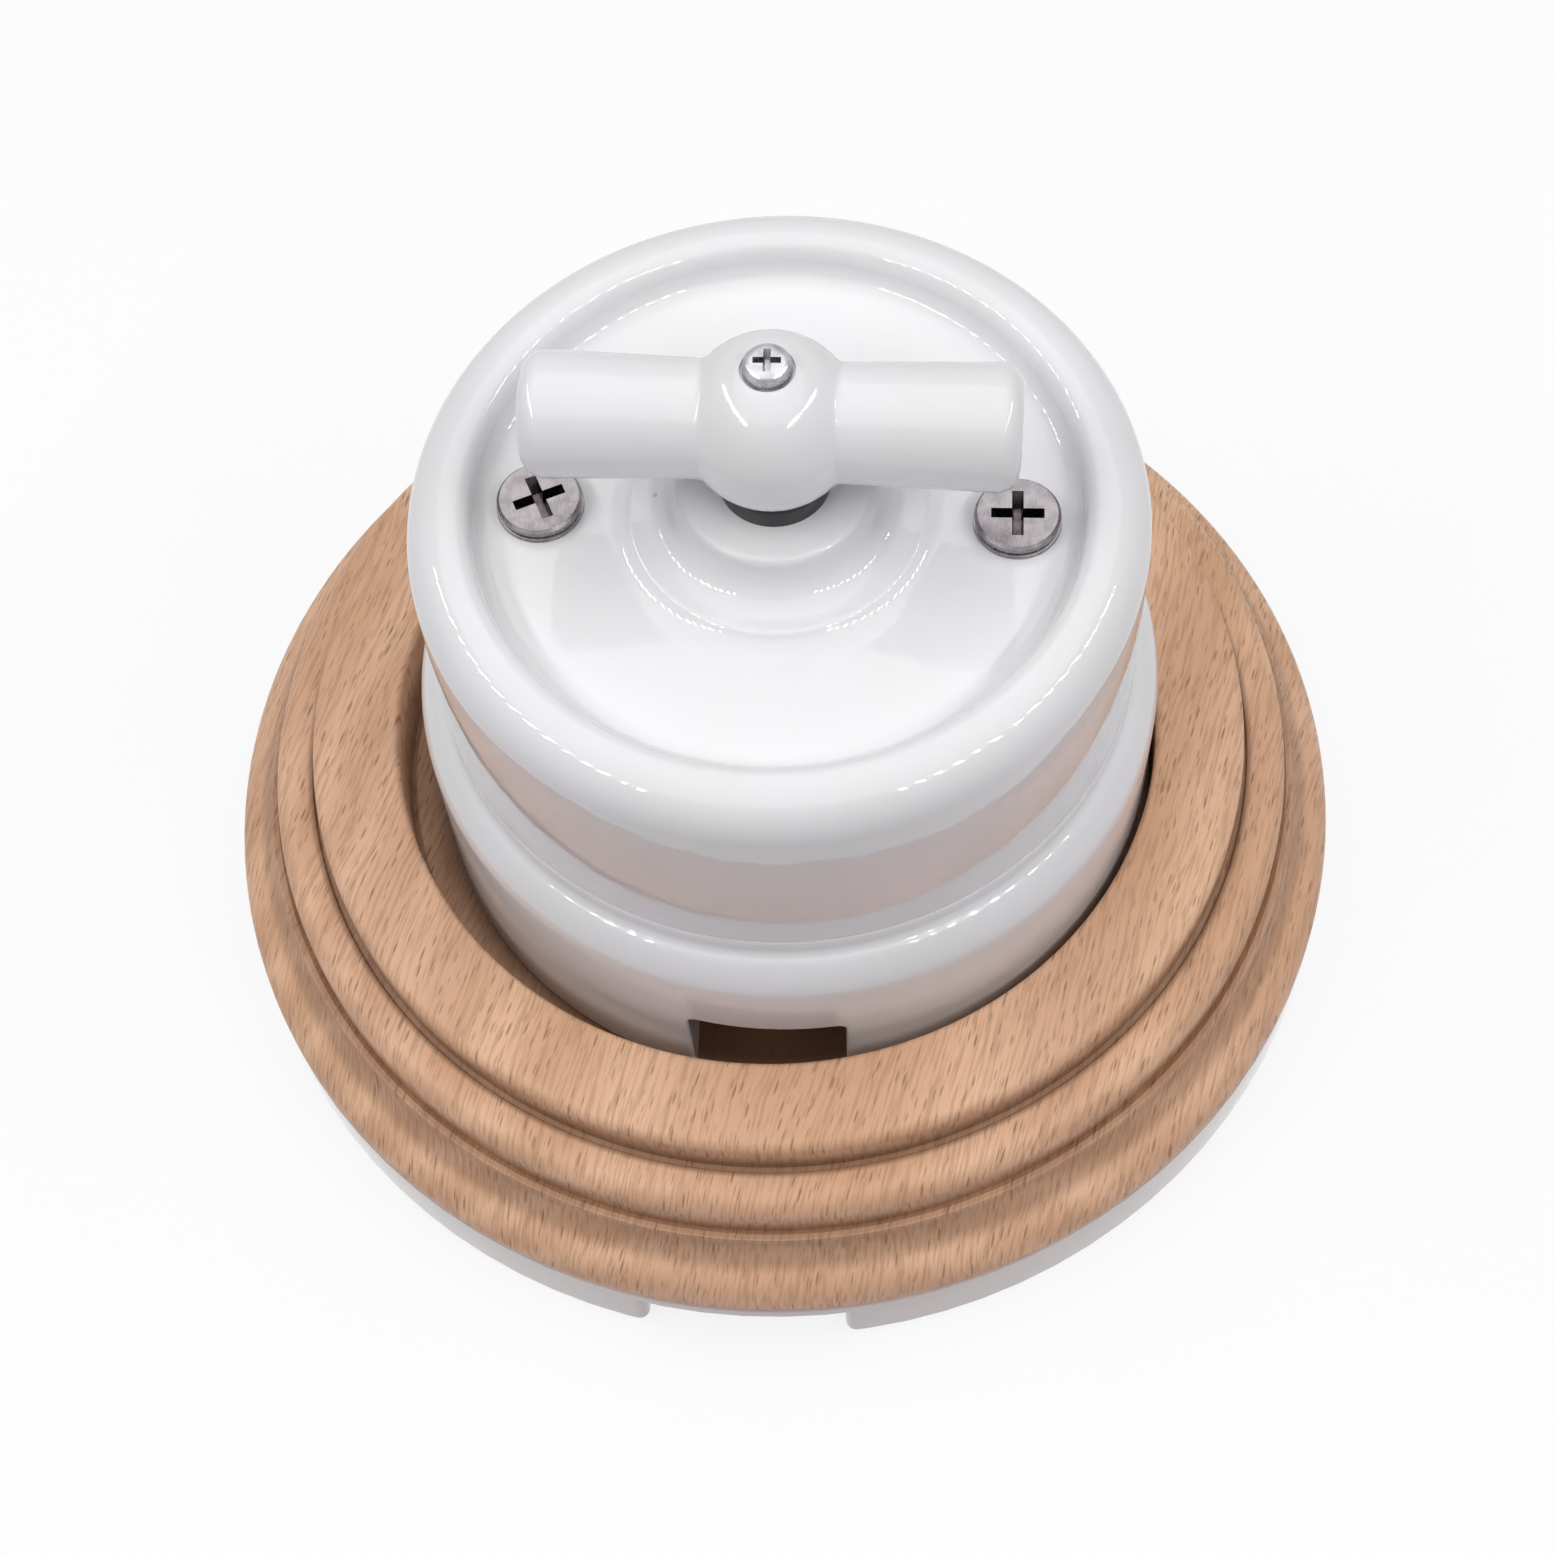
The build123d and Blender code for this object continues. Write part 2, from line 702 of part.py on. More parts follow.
def spindle_clip():
    top = clip_z + clip_height
    hole = spindle_radius - clip_groove_depth + thread_slack
    ring = disc(clip_radius, clip_z, top) - disc(hole, clip_z, top)
    return ring - block(clip_mouth, clip_radius, clip_z, top, 0, clip_radius / 2)


def knob_shape():
    # a ball with a bar through it, turned about X; the bar is a little thicker at its ends
    face_x = arm_length / 2
    round_x = face_x - arm_end_round
    face_radius = arm_end_radius - arm_end_round
    side = Line((0, arm_root_radius), (round_x, arm_end_radius))
    corner = TangentArc((round_x, arm_end_radius), (face_x, face_radius), tangent=side % 1)
    face = Polyline((face_x, face_radius), (face_x, 0), (0, 0), (0, arm_root_radius))
    arm = make_face(Curve() + [side, corner, face])
    ball_side = TangentArc((0, hub_radius), (hub_radius, 0), tangent=(1, 0))
    ball = make_face(Curve() + [ball_side, Polyline((hub_radius, 0), (0, 0), (0, hub_radius))])
    outline = arm + ball
    # counted from the axis outwards, the third corner is where the bar leaves the ball
    root = outline.vertices().sort_by(Axis.X)[2]
    half = revolve(Plane.XZ * fillet(root, arm_root_fillet), Axis.X)
    return Pos(0, 0, arm_z) * (half + mirror(half, about=Plane.YZ))


def knob():
    # the ball is cut flat above the bush and under the screw
    body = knob_shape() & disc(arm_length, hub_z, hub_top_z)
    body -= drive_bore(hub_z, knob_bore_top_z)
    body -= disc(knob_screw_radius + screw_hole_slack, knob_bore_top_z, hub_top_z)
    return body - disc(knob_head_radius + knob_head_slack, knob_seat_z, hub_top_z + knob_head_height)


def knob_screw():
    return pan_screw(
        knob_screw_radius, knob_screw_end_z, knob_seat_z,
        knob_head_radius, knob_head_height, knob_head_chamfer,
    )


# Pieces that stand on the axis of the wall plate, then those on the axis of the switch
plinth_pieces = {
    "back_plate": back_plate(),
    "wood_base": wood_base(),
    "plinth_screws": plinth_screws(),
}
switch_pieces = {
    "switch_base": switch_base(),
    "base_screws": base_screws(),
    "cover_nuts": nuts(cover_screw_places, cover_nut_width, cover_nut_height, cover_screw_radius),
    "cover": cover(),
    "cover_washers": cover_washers(),
    "cover_screws": cover_screws(),
    "bush": bush(),
    "bush_nut": bush_nut(),
    "mechanism_body": mechanism_body(),
    "mechanism_cap": mechanism_cap(),
    "mechanism_screws": mechanism_screws(),
    "mechanism_nuts": nuts(
        mechanism_screw_places, mechanism_nut_width, mechanism_nut_height, mechanism_screw_radius
    ),
    "terminal_screws": terminal_screws(),
    "detent_spring_front": detent_spring(-1),
    "detent_spring_rear": detent_spring(1),
    "spindle": spindle(),
    "rotor": rotor(),
    "contact_bridge": contact_bridge(),
    "detent_cam": detent_cam(),
    "spindle_clip": spindle_clip(),
    "knob": knob(),
    "knob_screw": knob_screw(),
}
for number, (side_x, side_y) in enumerate(terminal_sides, start=1):
    switch_pieces[f"terminal_{number}"] = terminal(side_x, side_y)

os.makedirs("parts", exist_ok=True)
for pieces, offset in ((plinth_pieces, 0.0), (switch_pieces, switch_offset)):
    for name, shape in pieces.items():
        solids = shape if isinstance(shape, list) else [shape]
        placed = [Pos(offset, 0, 0) * solid for solid in solids]
        export_step(Compound(children=placed) if len(placed) > 1 else placed[0], f"parts/{name}.step")
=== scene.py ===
import json
import math

import bmesh
import bpy
from mathutils import Matrix, Vector


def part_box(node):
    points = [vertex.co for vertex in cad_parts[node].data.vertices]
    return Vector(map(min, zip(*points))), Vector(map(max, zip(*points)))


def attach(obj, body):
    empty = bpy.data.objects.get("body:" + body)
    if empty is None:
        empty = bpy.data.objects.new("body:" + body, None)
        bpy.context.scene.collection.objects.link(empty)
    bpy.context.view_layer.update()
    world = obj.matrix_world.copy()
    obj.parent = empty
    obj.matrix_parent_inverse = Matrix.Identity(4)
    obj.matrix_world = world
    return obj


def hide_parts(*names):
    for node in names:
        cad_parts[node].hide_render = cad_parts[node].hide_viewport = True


# Porcelain rotary switch on a turned beech plinth.
# Pieces are modelled in millimetres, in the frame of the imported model, and scaled to metres when finished.

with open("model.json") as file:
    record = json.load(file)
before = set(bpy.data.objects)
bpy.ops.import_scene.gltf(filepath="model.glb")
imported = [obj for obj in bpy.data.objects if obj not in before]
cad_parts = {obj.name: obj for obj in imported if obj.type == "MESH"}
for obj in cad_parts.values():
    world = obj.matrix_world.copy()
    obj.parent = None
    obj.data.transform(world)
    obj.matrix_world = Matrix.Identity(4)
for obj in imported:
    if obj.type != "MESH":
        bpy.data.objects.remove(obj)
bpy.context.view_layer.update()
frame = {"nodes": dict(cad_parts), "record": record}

MM = 0.001


def corners(node):
    low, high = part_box(node)
    return low / MM, high / MM


def rgb(red, green, blue):
    return (red, green, blue, 1.0)


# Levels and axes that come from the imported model
plate_low, plate_high = corners("back_plate")
wood_low, wood_high = corners("wood_base")
base_low, base_high = corners("switch_base")
cover_low, cover_high = corners("cover")
washer_low, washer_high = corners("cover_washers")
cover_screw_low, cover_screw_high = corners("cover_screws")
bush_low, bush_high = corners("bush")
knob_low, knob_high = corners("knob")
knob_screw_low, knob_screw_high = corners("knob_screw")
plinth_screw_low, plinth_screw_high = corners("plinth_screws")

plate_top = plate_high.z
wood_foot = wood_low.z
wood_top = wood_high.z
recess_floor = base_low.z
seam = cover_low.z
bush_top = bush_high.z
hub_foot = knob_low.z
hub_top = knob_high.z
switch_x = (cover_low.x + cover_high.x) / 2

# Shared modelling values
ARC_STEP = math.radians(6)
SHORTEST_STEP = 0.25
TURN_STEPS = 180
PLATE_STEPS = 90
KNOB_STEPS = 120
BUSH_STEPS = 96
SCREW_STEPS = 72
PLINTH_SCREW_STEPS = 64
ROD_SEGMENTS = 48
# keeps the corners of a rod off the edges that it cuts
ROD_TURN = 0.37 * math.tau / ROD_SEGMENTS
# a rod runs this far past a face that it opens or joins
ROD_PAST = 1.0
SHARP = math.radians(38)
MERGE = 1e-4
CHORD_SLACK = 0.02

# Back plate, on the wall
wall_level = 0.0
plate_radius = (plate_high.x - plate_low.x) / 2
plate_wall = 6.0
plate_hollow = 4.8
plate_edge_round = 1.4
plate_notch_half = 9.5
plate_notch_top = plate_top - 1.2
plate_notch_end = 45.0
plate_foot_round = 1.2
plate_foot_segments = 5
plate_snap = 0.25
plate_edge_slack = 0.5
plate_end_slack = 1.0
plate_screw_hole = 2.0
cable_hole_radius = 10.0

# Turned plinth
wood_radius = (wood_high.x - wood_low.x) / 2
recess_radius = 37.3
recess_edge_round = 0.6
top_land_radius = 44.8
top_shoulder = 1.1
top_step_drop = 4.1
groove_sink = 0.4
groove_width = 0.5
middle_land_width = 1.4
middle_round = 2.1
lower_step_drop = 4.5
crest_width = 0.6
ogee_cove_width = 2.3
ogee_belly_height = 3.3
under_round_height = 1.1
under_round_width = 0.7
step_level = wood_top - top_step_drop
lower_step = step_level - lower_step_drop
upper_groove = top_land_radius + top_shoulder
middle_land = upper_groove + 2 * groove_width + middle_land_width
lower_groove = middle_land + middle_round
crest = lower_groove + groove_width
ogee_top = crest + crest_width
wall_hole_x = 25.0
wall_hole_radius = 2.25
plinth_screw_circle = 44.1
plinth_screw_start = 45.0
plinth_screw_count = 4
plinth_pilot_radius = 1.8
plinth_pilot_depth = 7.0

# Switch base
base_radius = (base_high.x - base_low.x) / 2
base_inner_radius = base_radius - 5.0
base_foot_round = 0.8
deck_under = recess_floor + 11.6
deck_top = deck_under + 5.0
base_notch_half = 7.3
base_notch_top = deck_under - 0.2
base_notch_round = 1.0
base_notch_segments = 4
base_notch_edge = 0.35
base_edge_segments = 3
base_snap = 0.2
neck_height = 1.3
neck_edge_round = 0.35
cove_height = 1.0
cove_width = 0.8
shoulder_height = 4.2
pocket_radius = 26.6
lip_radius = 28.2
base_post_circle = 22.4
base_post_start = 30.0
base_post_count = 2
base_post_radius = 5.2
base_screw_hole = 2.15
base_head_hole = 4.1
base_head_sink = 3.2
wire_hole_radius = 3.2
wire_hole_y = 22.6

# Cover
cover_radius = (cover_high.x - cover_low.x) / 2
cover_inner_radius = cover_radius - 4.0
cover_foot_round = 0.6
cover_crest = seam + 22.7
rim_round = 4.2
rim_slope = 3.5
dish_depth = 3.8
dish_level = cover_crest - dish_depth
ceiling = dish_level - 4.1
ceiling_round = 2.5
boss_foot_radius = 15.6
boss_step_radius = 12.8
boss_ring_radius = 12.1
boss_crown_radius = 8.6
boss_step = 1.2
boss_round = 0.8
boss_top = cover_high.z
boss_under = boss_top - 5.0
boss_pocket_radius = 9.0
bush_hole_radius = 3.9
cover_screw_hole = 2.25
cover_edge_round = 0.22
cover_edge_segments = 3
cover_edge_angle = math.radians(16)

# Screws and washers
washer_radius = washer_high.y
washer_edge_round = 0.08
washer_edge_segments = 2
cover_screw_radius = 2.0
cover_head_radius = cover_screw_high.y
cover_head_height = cover_screw_high.z - washer_high.z
cover_screw_spread = (cover_screw_high.x - cover_screw_low.x) / 2 - cover_head_radius
head_edge = 0.25
head_under_edge = 0.3
cross_reach = 2.3
cross_arm = 1.0
cross_depth = 1.5
cross_taper = 0.62
cover_cross_turns = {-1: 26.3, 1: 1.4}
# how far the painted shade in the drive recesses reaches
recess_shade_reach = 1.5 * cross_reach
recess_shade_slack = 0.02
knob_head_radius = knob_screw_high.y
knob_head_height = 1.6
knob_head_round = 0.75
knob_shank_radius = 1.25
knob_cross_reach = 1.15
knob_cross_arm = 0.6
knob_cross_depth = 0.9
knob_cross_turn = 1.7
plinth_head_radius = 3.5
plinth_head_height = 2.2
plinth_head_round = 0.9
plinth_shank_radius = 1.75
plinth_point_length = 2.0

# Bush
bush_flange_radius = bush_high.y
bush_flange_height = 1.7
bush_sleeve_radius = 3.8
bush_bore_radius = 2.55
bush_edge = 0.4

# Knob
hub_radius = knob_high.y
arm_level = hub_foot + 6.4
arm_half = 20.75
arm_root_radius = 4.85
arm_end_radius = 5.35
arm_end_round = 2.0
arm_root_fillet = 1.0
knob_head_sink = 0.4
knob_seat_radius = 2.3
knob_screw_hole = 1.5
knob_hole_past = 0.5
drive_bore_radius = 2.55
drive_bore_flat = 1.95
drive_bore_top = hub_top - 4.6

# Tones of the finishes
WHITE = rgb(1.0, 1.0, 1.0)
glaze_tones = rgb(0.86, 0.855, 0.885), rgb(0.84, 0.845, 0.85)
# painted shade: the plate is the same white porcelain as the switch, given a darker, warmer tone for the
# shade it lies in
plate_shaded_glaze_tones = rgb(0.72, 0.65, 0.63), rgb(0.69, 0.625, 0.605)
speck_tone = rgb(0.22, 0.19, 0.17)
zinc_tones = rgb(0.31, 0.285, 0.3), rgb(0.23, 0.21, 0.22)
# painted shade for the walls of the drive recesses
shaded_recess_zinc_tones = rgb(0.13, 0.11, 0.115), rgb(0.07, 0.058, 0.06)
bright_zinc_tones = rgb(0.5, 0.495, 0.515), rgb(0.33, 0.325, 0.34)
spring_tones = rgb(0.5, 0.52, 0.55), rgb(0.33, 0.34, 0.37)
brass_tones = rgb(0.8, 0.6, 0.28), rgb(0.6, 0.4, 0.16)
dark_moulding_tones = rgb(0.035, 0.034, 0.038), rgb(0.06, 0.058, 0.062)
brown_moulding_tones = rgb(0.06, 0.028, 0.016), rgb(0.1, 0.05, 0.028)
wood_ring_tones = rgb(0.71, 0.418, 0.247), rgb(0.865, 0.543, 0.344)
wood_patch_tone = rgb(0.76, 0.465, 0.325)
wood_fibre_tone = rgb(0.46, 0.255, 0.145)
wood_fleck_tone = rgb(0.28, 0.145, 0.075)
# tone of the painted shade in the grooves, the cove and the recess
wood_shade_tone = rgb(0.1, 0.045, 0.022)
air_fill_tone = rgb(1.0, 0.965, 1.0)
floor_bounce_tone = rgb(0.52, 0.48, 0.52)

# Patterns of the finishes
# A scale counts cells per millimetre, a span is where a mask starts and ends on a noise,
# and a bump is a strength and a depth in millimetres.
RISE = (0.0, 1.0)
FADE = (1.0, 0.0)
noise_middle = (0.5, 0.5, 0.5)
plain_span = (0.3, 0.7)
tarnish_scale = 0.9
tarnish_span = (0.35, 0.7)
scratch_stretch = (9.0, 0.8, 3.0)
scratch_scale = 1.4
scratch_span = (0.45, 0.65)
scratch_roughness = 0.12
metal_roughness = 0.24
metal_bump = (0.1, 0.02)
moulding_cloud_scale = 0.35
moulding_grain_scale = 4.5
moulding_roughness = (0.32, 0.46)
moulding_bump = (0.15, 0.03)
glaze_cloud_scale = 0.07
glaze_cloud_span = (0.35, 0.65)
glaze_ripple_scale = 0.22
glaze_peel_scale = 1.1
glaze_peel_share = 0.18
glaze_roughness = (0.025, 0.05)
glaze_bump = (0.35, 0.1)
glaze_ior = 1.52
speck_scale = 0.11
speck_span = (0.016, 0.03)
speck_chance = (0.72, 0.78)
speck_share = 0.45
grain_turn = 12.0
grain_drift_scale = 0.03
grain_drift = (5.0, 0.0, 3.0)
pith_place = (14.0, 0.0, -46.0)
pith_stretch = (1.0, 0.04, 1.0)
ring_rate = 0.24
ring_half = 0.5
ring_span = (0.08, ring_half)
wood_patch_scale = 0.05
wood_patch_share = (0.0, 0.5)
fibre_stretch = (3.6, 0.22, 0.5)
fibre_span = (0.42, 0.68)
fibre_share = (0.0, 0.55)
fibre_height = 0.5
large_fleck_cells = (1.7, 0.25, 0.2)
large_fleck_span = (0.1, 0.25)
small_fleck_cells = (2.8, 0.36, 0.3)
small_fleck_span = (0.14, 0.32)
small_fleck_share = 0.7
fleck_chance = (0.0, 0.6)
fleck_share = 0.75
fleck_height = -1.0
wood_roughness = (0.42, 0.54)
wood_specular = 0.35
wood_bump = (0.3, 0.05)

# Camera at the photo's angle, in millimetres and degrees, and the photo in pixels
view_elevation = 61.39
view_roll = -4.8
view_turn = 8.07
view_distance = 281.26
view_aim = (-0.39, 1.57, 8.45)
view_nearest = 10.0
photo_side = 1554
photo_focal = 2700.0
film = 36.0

# Studio light, in metres and watts
overhead_place = (0.0, 0.05, 0.9)
overhead_aim = (0.0, 0.05, 0.0)
overhead_side = 1.5
overhead_power = 7.0
row_lamps = 16
row_near = Vector((0.29, -0.4, 0.5))
row_far = Vector((0.66, 0.26, 0.5))
row_aim = (0.0, 0.0, 0.05)
row_lamp_width = 0.016
row_lamp_depth = 0.05
row_power = 0.088
air_fill = 0.06
air_shown = 0.92

# Studio floor
floor_half = 3000.0
floor_roughness = 0.9
floor_white_share = 0.82


def mirrored_in(chord, direction):
    return 2 * direction.dot(chord) / chord.length_squared * chord - direction


class Section:
    """Half section of a turned piece: X is the radius and Z is the level."""

    def __init__(self, radius, level):
        self.bm = bmesh.new()
        self.first = self.bm.verts.new((radius, 0.0, level))
        self.last = self.first
        self.heading = None

    def line(self, *points):
        for radius, level in points:
            made = bmesh.ops.extrude_vert_indiv(self.bm, verts=[self.last])
            self.last = made["verts"][0]
            self.last.co = (radius, 0.0, level)

    def arc(self, radius, level, start=None, end=None):
        # a round stretch to a point, given its direction at the start or at the end
        here = Vector((self.last.co.x, self.last.co.z))
        chord = Vector((radius, level)) - here
        if end is not None:
            start = mirrored_in(chord, Vector(end))
        heading = Vector(start).normalized()
        left = Vector((-heading.y, heading.x))
        side = chord.dot(left)
        bend = chord.length_squared / (2 * side)
        centre = here + left * bend
        sweep = 2 * math.atan2(side, chord.dot(heading))
        by_angle = math.ceil(abs(sweep) / ARC_STEP)
        by_length = math.floor(abs(sweep * bend) / SHORTEST_STEP)
        made = bmesh.ops.spin(
            self.bm, geom=[self.last], cent=(centre.x, 0.0, centre.y), axis=(0.0, -1.0, 0.0),
            angle=sweep, steps=max(2, min(by_angle, by_length)),
        )
        self.last = [item for item in made["geom_last"] if isinstance(item, bmesh.types.BMVert)][0]
        self.heading = mirrored_in(chord, heading)

    def turned(self, closed=True, steps=TURN_STEPS, axis=(0.0, 0.0, 1.0)):
        if closed:
            self.bm.edges.new((self.last, self.first))
        bmesh.ops.spin(
            self.bm, geom=self.bm.verts[:] + self.bm.edges[:], cent=(0.0, 0.0, 0.0), axis=axis,
            angle=math.tau, steps=steps, use_merge=True,
        )
        bmesh.ops.remove_doubles(self.bm, verts=self.bm.verts, dist=MERGE)
        bmesh.ops.recalc_face_normals(self.bm, faces=self.bm.faces)
        return self.bm


def from_axis(point):
    return math.hypot(point.x, point.y)


def on_circle(radius, start, count):
    angles = [math.radians(start + 360.0 * index / count) for index in range(count)]
    return [(radius * math.cos(angle), radius * math.sin(angle)) for angle in angles]


def sharp_edges(bm, angle):
    return [e for e in bm.edges if len(e.link_faces) == 2 and e.calc_face_angle() > angle]


def round_edges(bm, edges, width, segments):
    bmesh.ops.bevel(
        bm, geom=edges, offset=width, offset_type="OFFSET", segments=segments, profile=0.5,
        affect="EDGES", clamp_overlap=False, material=-1,
    )


def shift(bm, x=0.0, y=0.0, z=0.0):
    bmesh.ops.translate(bm, verts=bm.verts, vec=(x, y, z))


def turn(bm, angle):
    bmesh.ops.rotate(bm, verts=bm.verts, cent=(0, 0, 0), matrix=Matrix.Rotation(angle, 3, "Z"))


def cut_off(bm, point, outward):
    # takes off what stands past a plane and closes the cut
    geom = bm.verts[:] + bm.edges[:] + bm.faces[:]
    cut = bmesh.ops.bisect_plane(bm, geom=geom, plane_co=point, plane_no=outward, clear_outer=True)
    rim = [item for item in cut["geom_cut"] if isinstance(item, bmesh.types.BMEdge)]
    bmesh.ops.contextual_create(bm, geom=rim)
    bmesh.ops.recalc_face_normals(bm, faces=bm.faces)


def as_object(bm, name):
    bmesh.ops.scale(bm, vec=(MM, MM, MM), verts=bm.verts)
    mesh = bpy.data.meshes.new(name)
    bm.to_mesh(mesh)
    bm.free()
    obj = bpy.data.objects.new(name, mesh)
    bpy.context.scene.collection.objects.link(obj)
    return obj


def as_shape(obj):
    # takes an object back to a bmesh in millimetres
    bm = bmesh.new()
    bm.from_mesh(obj.data)
    bpy.data.objects.remove(obj)
    bmesh.ops.scale(bm, vec=(1 / MM, 1 / MM, 1 / MM), verts=bm.verts)
    return bm


def joined(shapes):
    # several finished shapes in one bmesh
    whole = bmesh.new()
    for bm in shapes:
        mesh = bpy.data.meshes.new("part")
        bm.to_mesh(mesh)
        bm.free()
        whole.from_mesh(mesh)
        bpy.data.meshes.remove(mesh)
    return whole


def settle(obj):
    # keeps what the modifiers made and takes them off
    bpy.context.view_layer.update()
    made = bpy.data.meshes.new_from_object(obj.evaluated_get(bpy.context.evaluated_depsgraph_get()))
    obj.modifiers.clear()
    obj.data = made


def combine(obj, bm, operation):
    tool = as_object(bm, obj.name + "_tool")
    modifier = obj.modifiers.new("combine", "BOOLEAN")
    modifier.operation = operation
    modifier.solver = "EXACT"
    modifier.object = tool
    settle(obj)
    bpy.data.objects.remove(tool)


def rods(bars):
    # round bars in one bmesh, for holes or posts, each as x, y, radius, lowest and highest level
    bm = bmesh.new()
    for x, y, radius, low, high in bars:
        stand = Matrix.Translation((x, y, (low + high) / 2)) @ Matrix.Rotation(ROD_TURN, 4, "Z")
        bmesh.ops.create_cone(
            bm, cap_ends=True, segments=ROD_SEGMENTS, radius1=radius, radius2=radius,
            depth=high - low, matrix=stand,
        )
    return bm


def drill(obj, holes):
    combine(obj, rods(holes), "DIFFERENCE")


# Cable notches


def in_notch_region(face, half_width, top, inner_radius):
    centre = face.calc_center_median()
    near = abs(centre.x) < 2 * half_width and centre.y < 0
    far_out = from_axis(centre) > inner_radius - CHORD_SLACK
    return near and far_out and max(v.co.z for v in face.verts) < top + MERGE


def open_notch(bm, half_width, top, inner_radius, snap):
    # cuts a gap through the wall at the front, between the planes X = +-half_width and below a level
    for side in (-1, 1):
        region = [f for f in bm.faces if in_notch_region(f, half_width, top, inner_radius)]
        geom = set(region)
        for face in region:
            geom.update(face.verts)
            geom.update(face.edges)
        plane = (side * half_width, 0.0, 0.0)
        bmesh.ops.bisect_plane(bm, geom=list(geom), dist=snap, plane_co=plane, plane_no=(1.0, 0.0, 0.0))
    region = [f for f in bm.faces if in_notch_region(f, half_width, top, inner_radius)]
    gone = [f for f in region if abs(f.calc_center_median().x) < half_width]
    bmesh.ops.delete(bm, geom=gone, context="FACES")


def rim_edges(bm, level, radius, slack):
    # open edges that lie on a ring
    def on_ring(vert):
        return abs(vert.co.z - level) < MERGE and abs(from_axis(vert.co) - radius) < slack

    return [e for e in bm.edges if e.is_boundary and all(on_ring(v) for v in e.verts)]


def outermost(edges, side):
    return max((v for e in edges for v in e.verts), key=lambda vert: side * vert.co.x)


def close_notch(bm, front, rear):
    # roofs a notch between its front edges and its rear edges, and closes its sides
    ends = [bm.edges.new((outermost(front, side), outermost(rear, side))) for side in (-1, 1)]
    bmesh.ops.contextual_create(bm, geom=front + rear + ends)
    bmesh.ops.holes_fill(bm, edges=[e for e in bm.edges if e.is_boundary], sides=0)
    bmesh.ops.recalc_face_normals(bm, faces=bm.faces)


def notch_side_edges(bm, half_width, slack):
    sides = [
        f for f in bm.faces
        if len(f.verts) > 4 and all(abs(abs(v.co.x) - half_width) < slack for v in f.verts)
    ]
    return [e for f in sides for e in f.edges]


# Shapes of the turned and moulded pieces


def back_plate_shape():
    inner = plate_radius - plate_wall
    section = Section(cable_hole_radius, plate_hollow)
    section.line((plate_notch_end, plate_hollow), (inner, plate_hollow), (inner, wall_level))
    section.line((plate_radius - plate_edge_round, wall_level))
    section.arc(plate_radius, wall_level + plate_edge_round, start=(1, 0))
    section.line((plate_radius, plate_notch_top), (plate_radius, plate_top), (cable_hole_radius, plate_top))
    bm = section.turned(steps=PLATE_STEPS)
    half_step = math.pi / PLATE_STEPS
    turn(bm, half_step)
    open_notch(bm, plate_notch_half, plate_notch_top, plate_notch_end, plate_snap)
    rear = rim_edges(bm, plate_hollow, plate_notch_end, plate_end_slack)
    lifted = bmesh.ops.extrude_edge_only(bm, edges=rear)["geom"]
    raised = [item for item in lifted if isinstance(item, bmesh.types.BMVert)]
    bmesh.ops.translate(bm, verts=raised, vec=(0, 0, plate_notch_top - plate_hollow))
    front = rim_edges(bm, plate_notch_top, plate_radius, plate_snap)
    close_notch(bm, front, rim_edges(bm, plate_notch_top, plate_notch_end, plate_end_slack))

    def is_foot(edge):
        # low edges of the notch's sides, apart from the upright ones of the inner wall
        radii = [from_axis(v.co) for v in edge.verts]
        levels = [v.co.z for v in edge.verts]
        below = max(levels) < plate_notch_top + MERGE and sum(levels) / 2 < plate_notch_top - plate_edge_slack
        upright = all(abs(radius - inner) < plate_edge_slack for radius in radii)
        return below and min(radii) > inner - plate_edge_slack and not upright

    feet = [e for e in notch_side_edges(bm, plate_notch_half, 2 * plate_snap) if is_foot(e)]
    round_edges(bm, feet, plate_foot_round, plate_foot_segments)
    return bm


def switch_base_shape():
    neck_foot = seam - neck_height
    shoulder_top = neck_foot - cove_height
    section = Section(0.0, deck_under)
    section.line((base_inner_radius, deck_under), (base_inner_radius, base_notch_top))
    section.line((base_inner_radius, recess_floor), (base_radius - base_foot_round, recess_floor))
    section.arc(base_radius, recess_floor + base_foot_round, start=(1, 0))
    section.line((base_radius, base_notch_top), (base_radius, shoulder_top - shoulder_height))
    section.arc(cover_radius + cove_width, shoulder_top, start=(0, 1))
    section.arc(cover_radius, neck_foot, end=(0, 1))
    section.line((cover_radius, seam - neck_edge_round))
    section.arc(cover_radius - neck_edge_round, seam, start=(0, 1))
    section.line((lip_radius, seam), (lip_radius, base_high.z), (pocket_radius, base_high.z))
    section.line((pocket_radius, deck_top), (0.0, deck_top))
    bm = section.turned(closed=False)
    open_notch(bm, base_notch_half, base_notch_top, base_inner_radius, base_snap)
    outer = rim_edges(bm, base_notch_top, base_radius, base_snap)
    close_notch(bm, outer, rim_edges(bm, base_notch_top, base_inner_radius, base_snap))

    def at_opening(vert):
        front = vert.co.y < 0 and vert.co.z < base_notch_top + MERGE
        outside = from_axis(vert.co) > base_radius - base_foot_round - MERGE
        return front and outside and abs(vert.co.x) < base_notch_half + 2 * base_snap

    sides = notch_side_edges(bm, base_notch_half, 2 * base_snap)
    uppers = [e for e in sides if min(v.co.z for v in e.verts) > base_notch_top - MERGE]
    round_edges(bm, uppers, base_notch_round, base_notch_segments)
    opening = [e for e in sharp_edges(bm, SHARP) if all(at_opening(v) for v in e.verts)]
    round_edges(bm, opening, base_notch_edge, base_edge_segments)
    shift(bm, switch_x)
    return bm


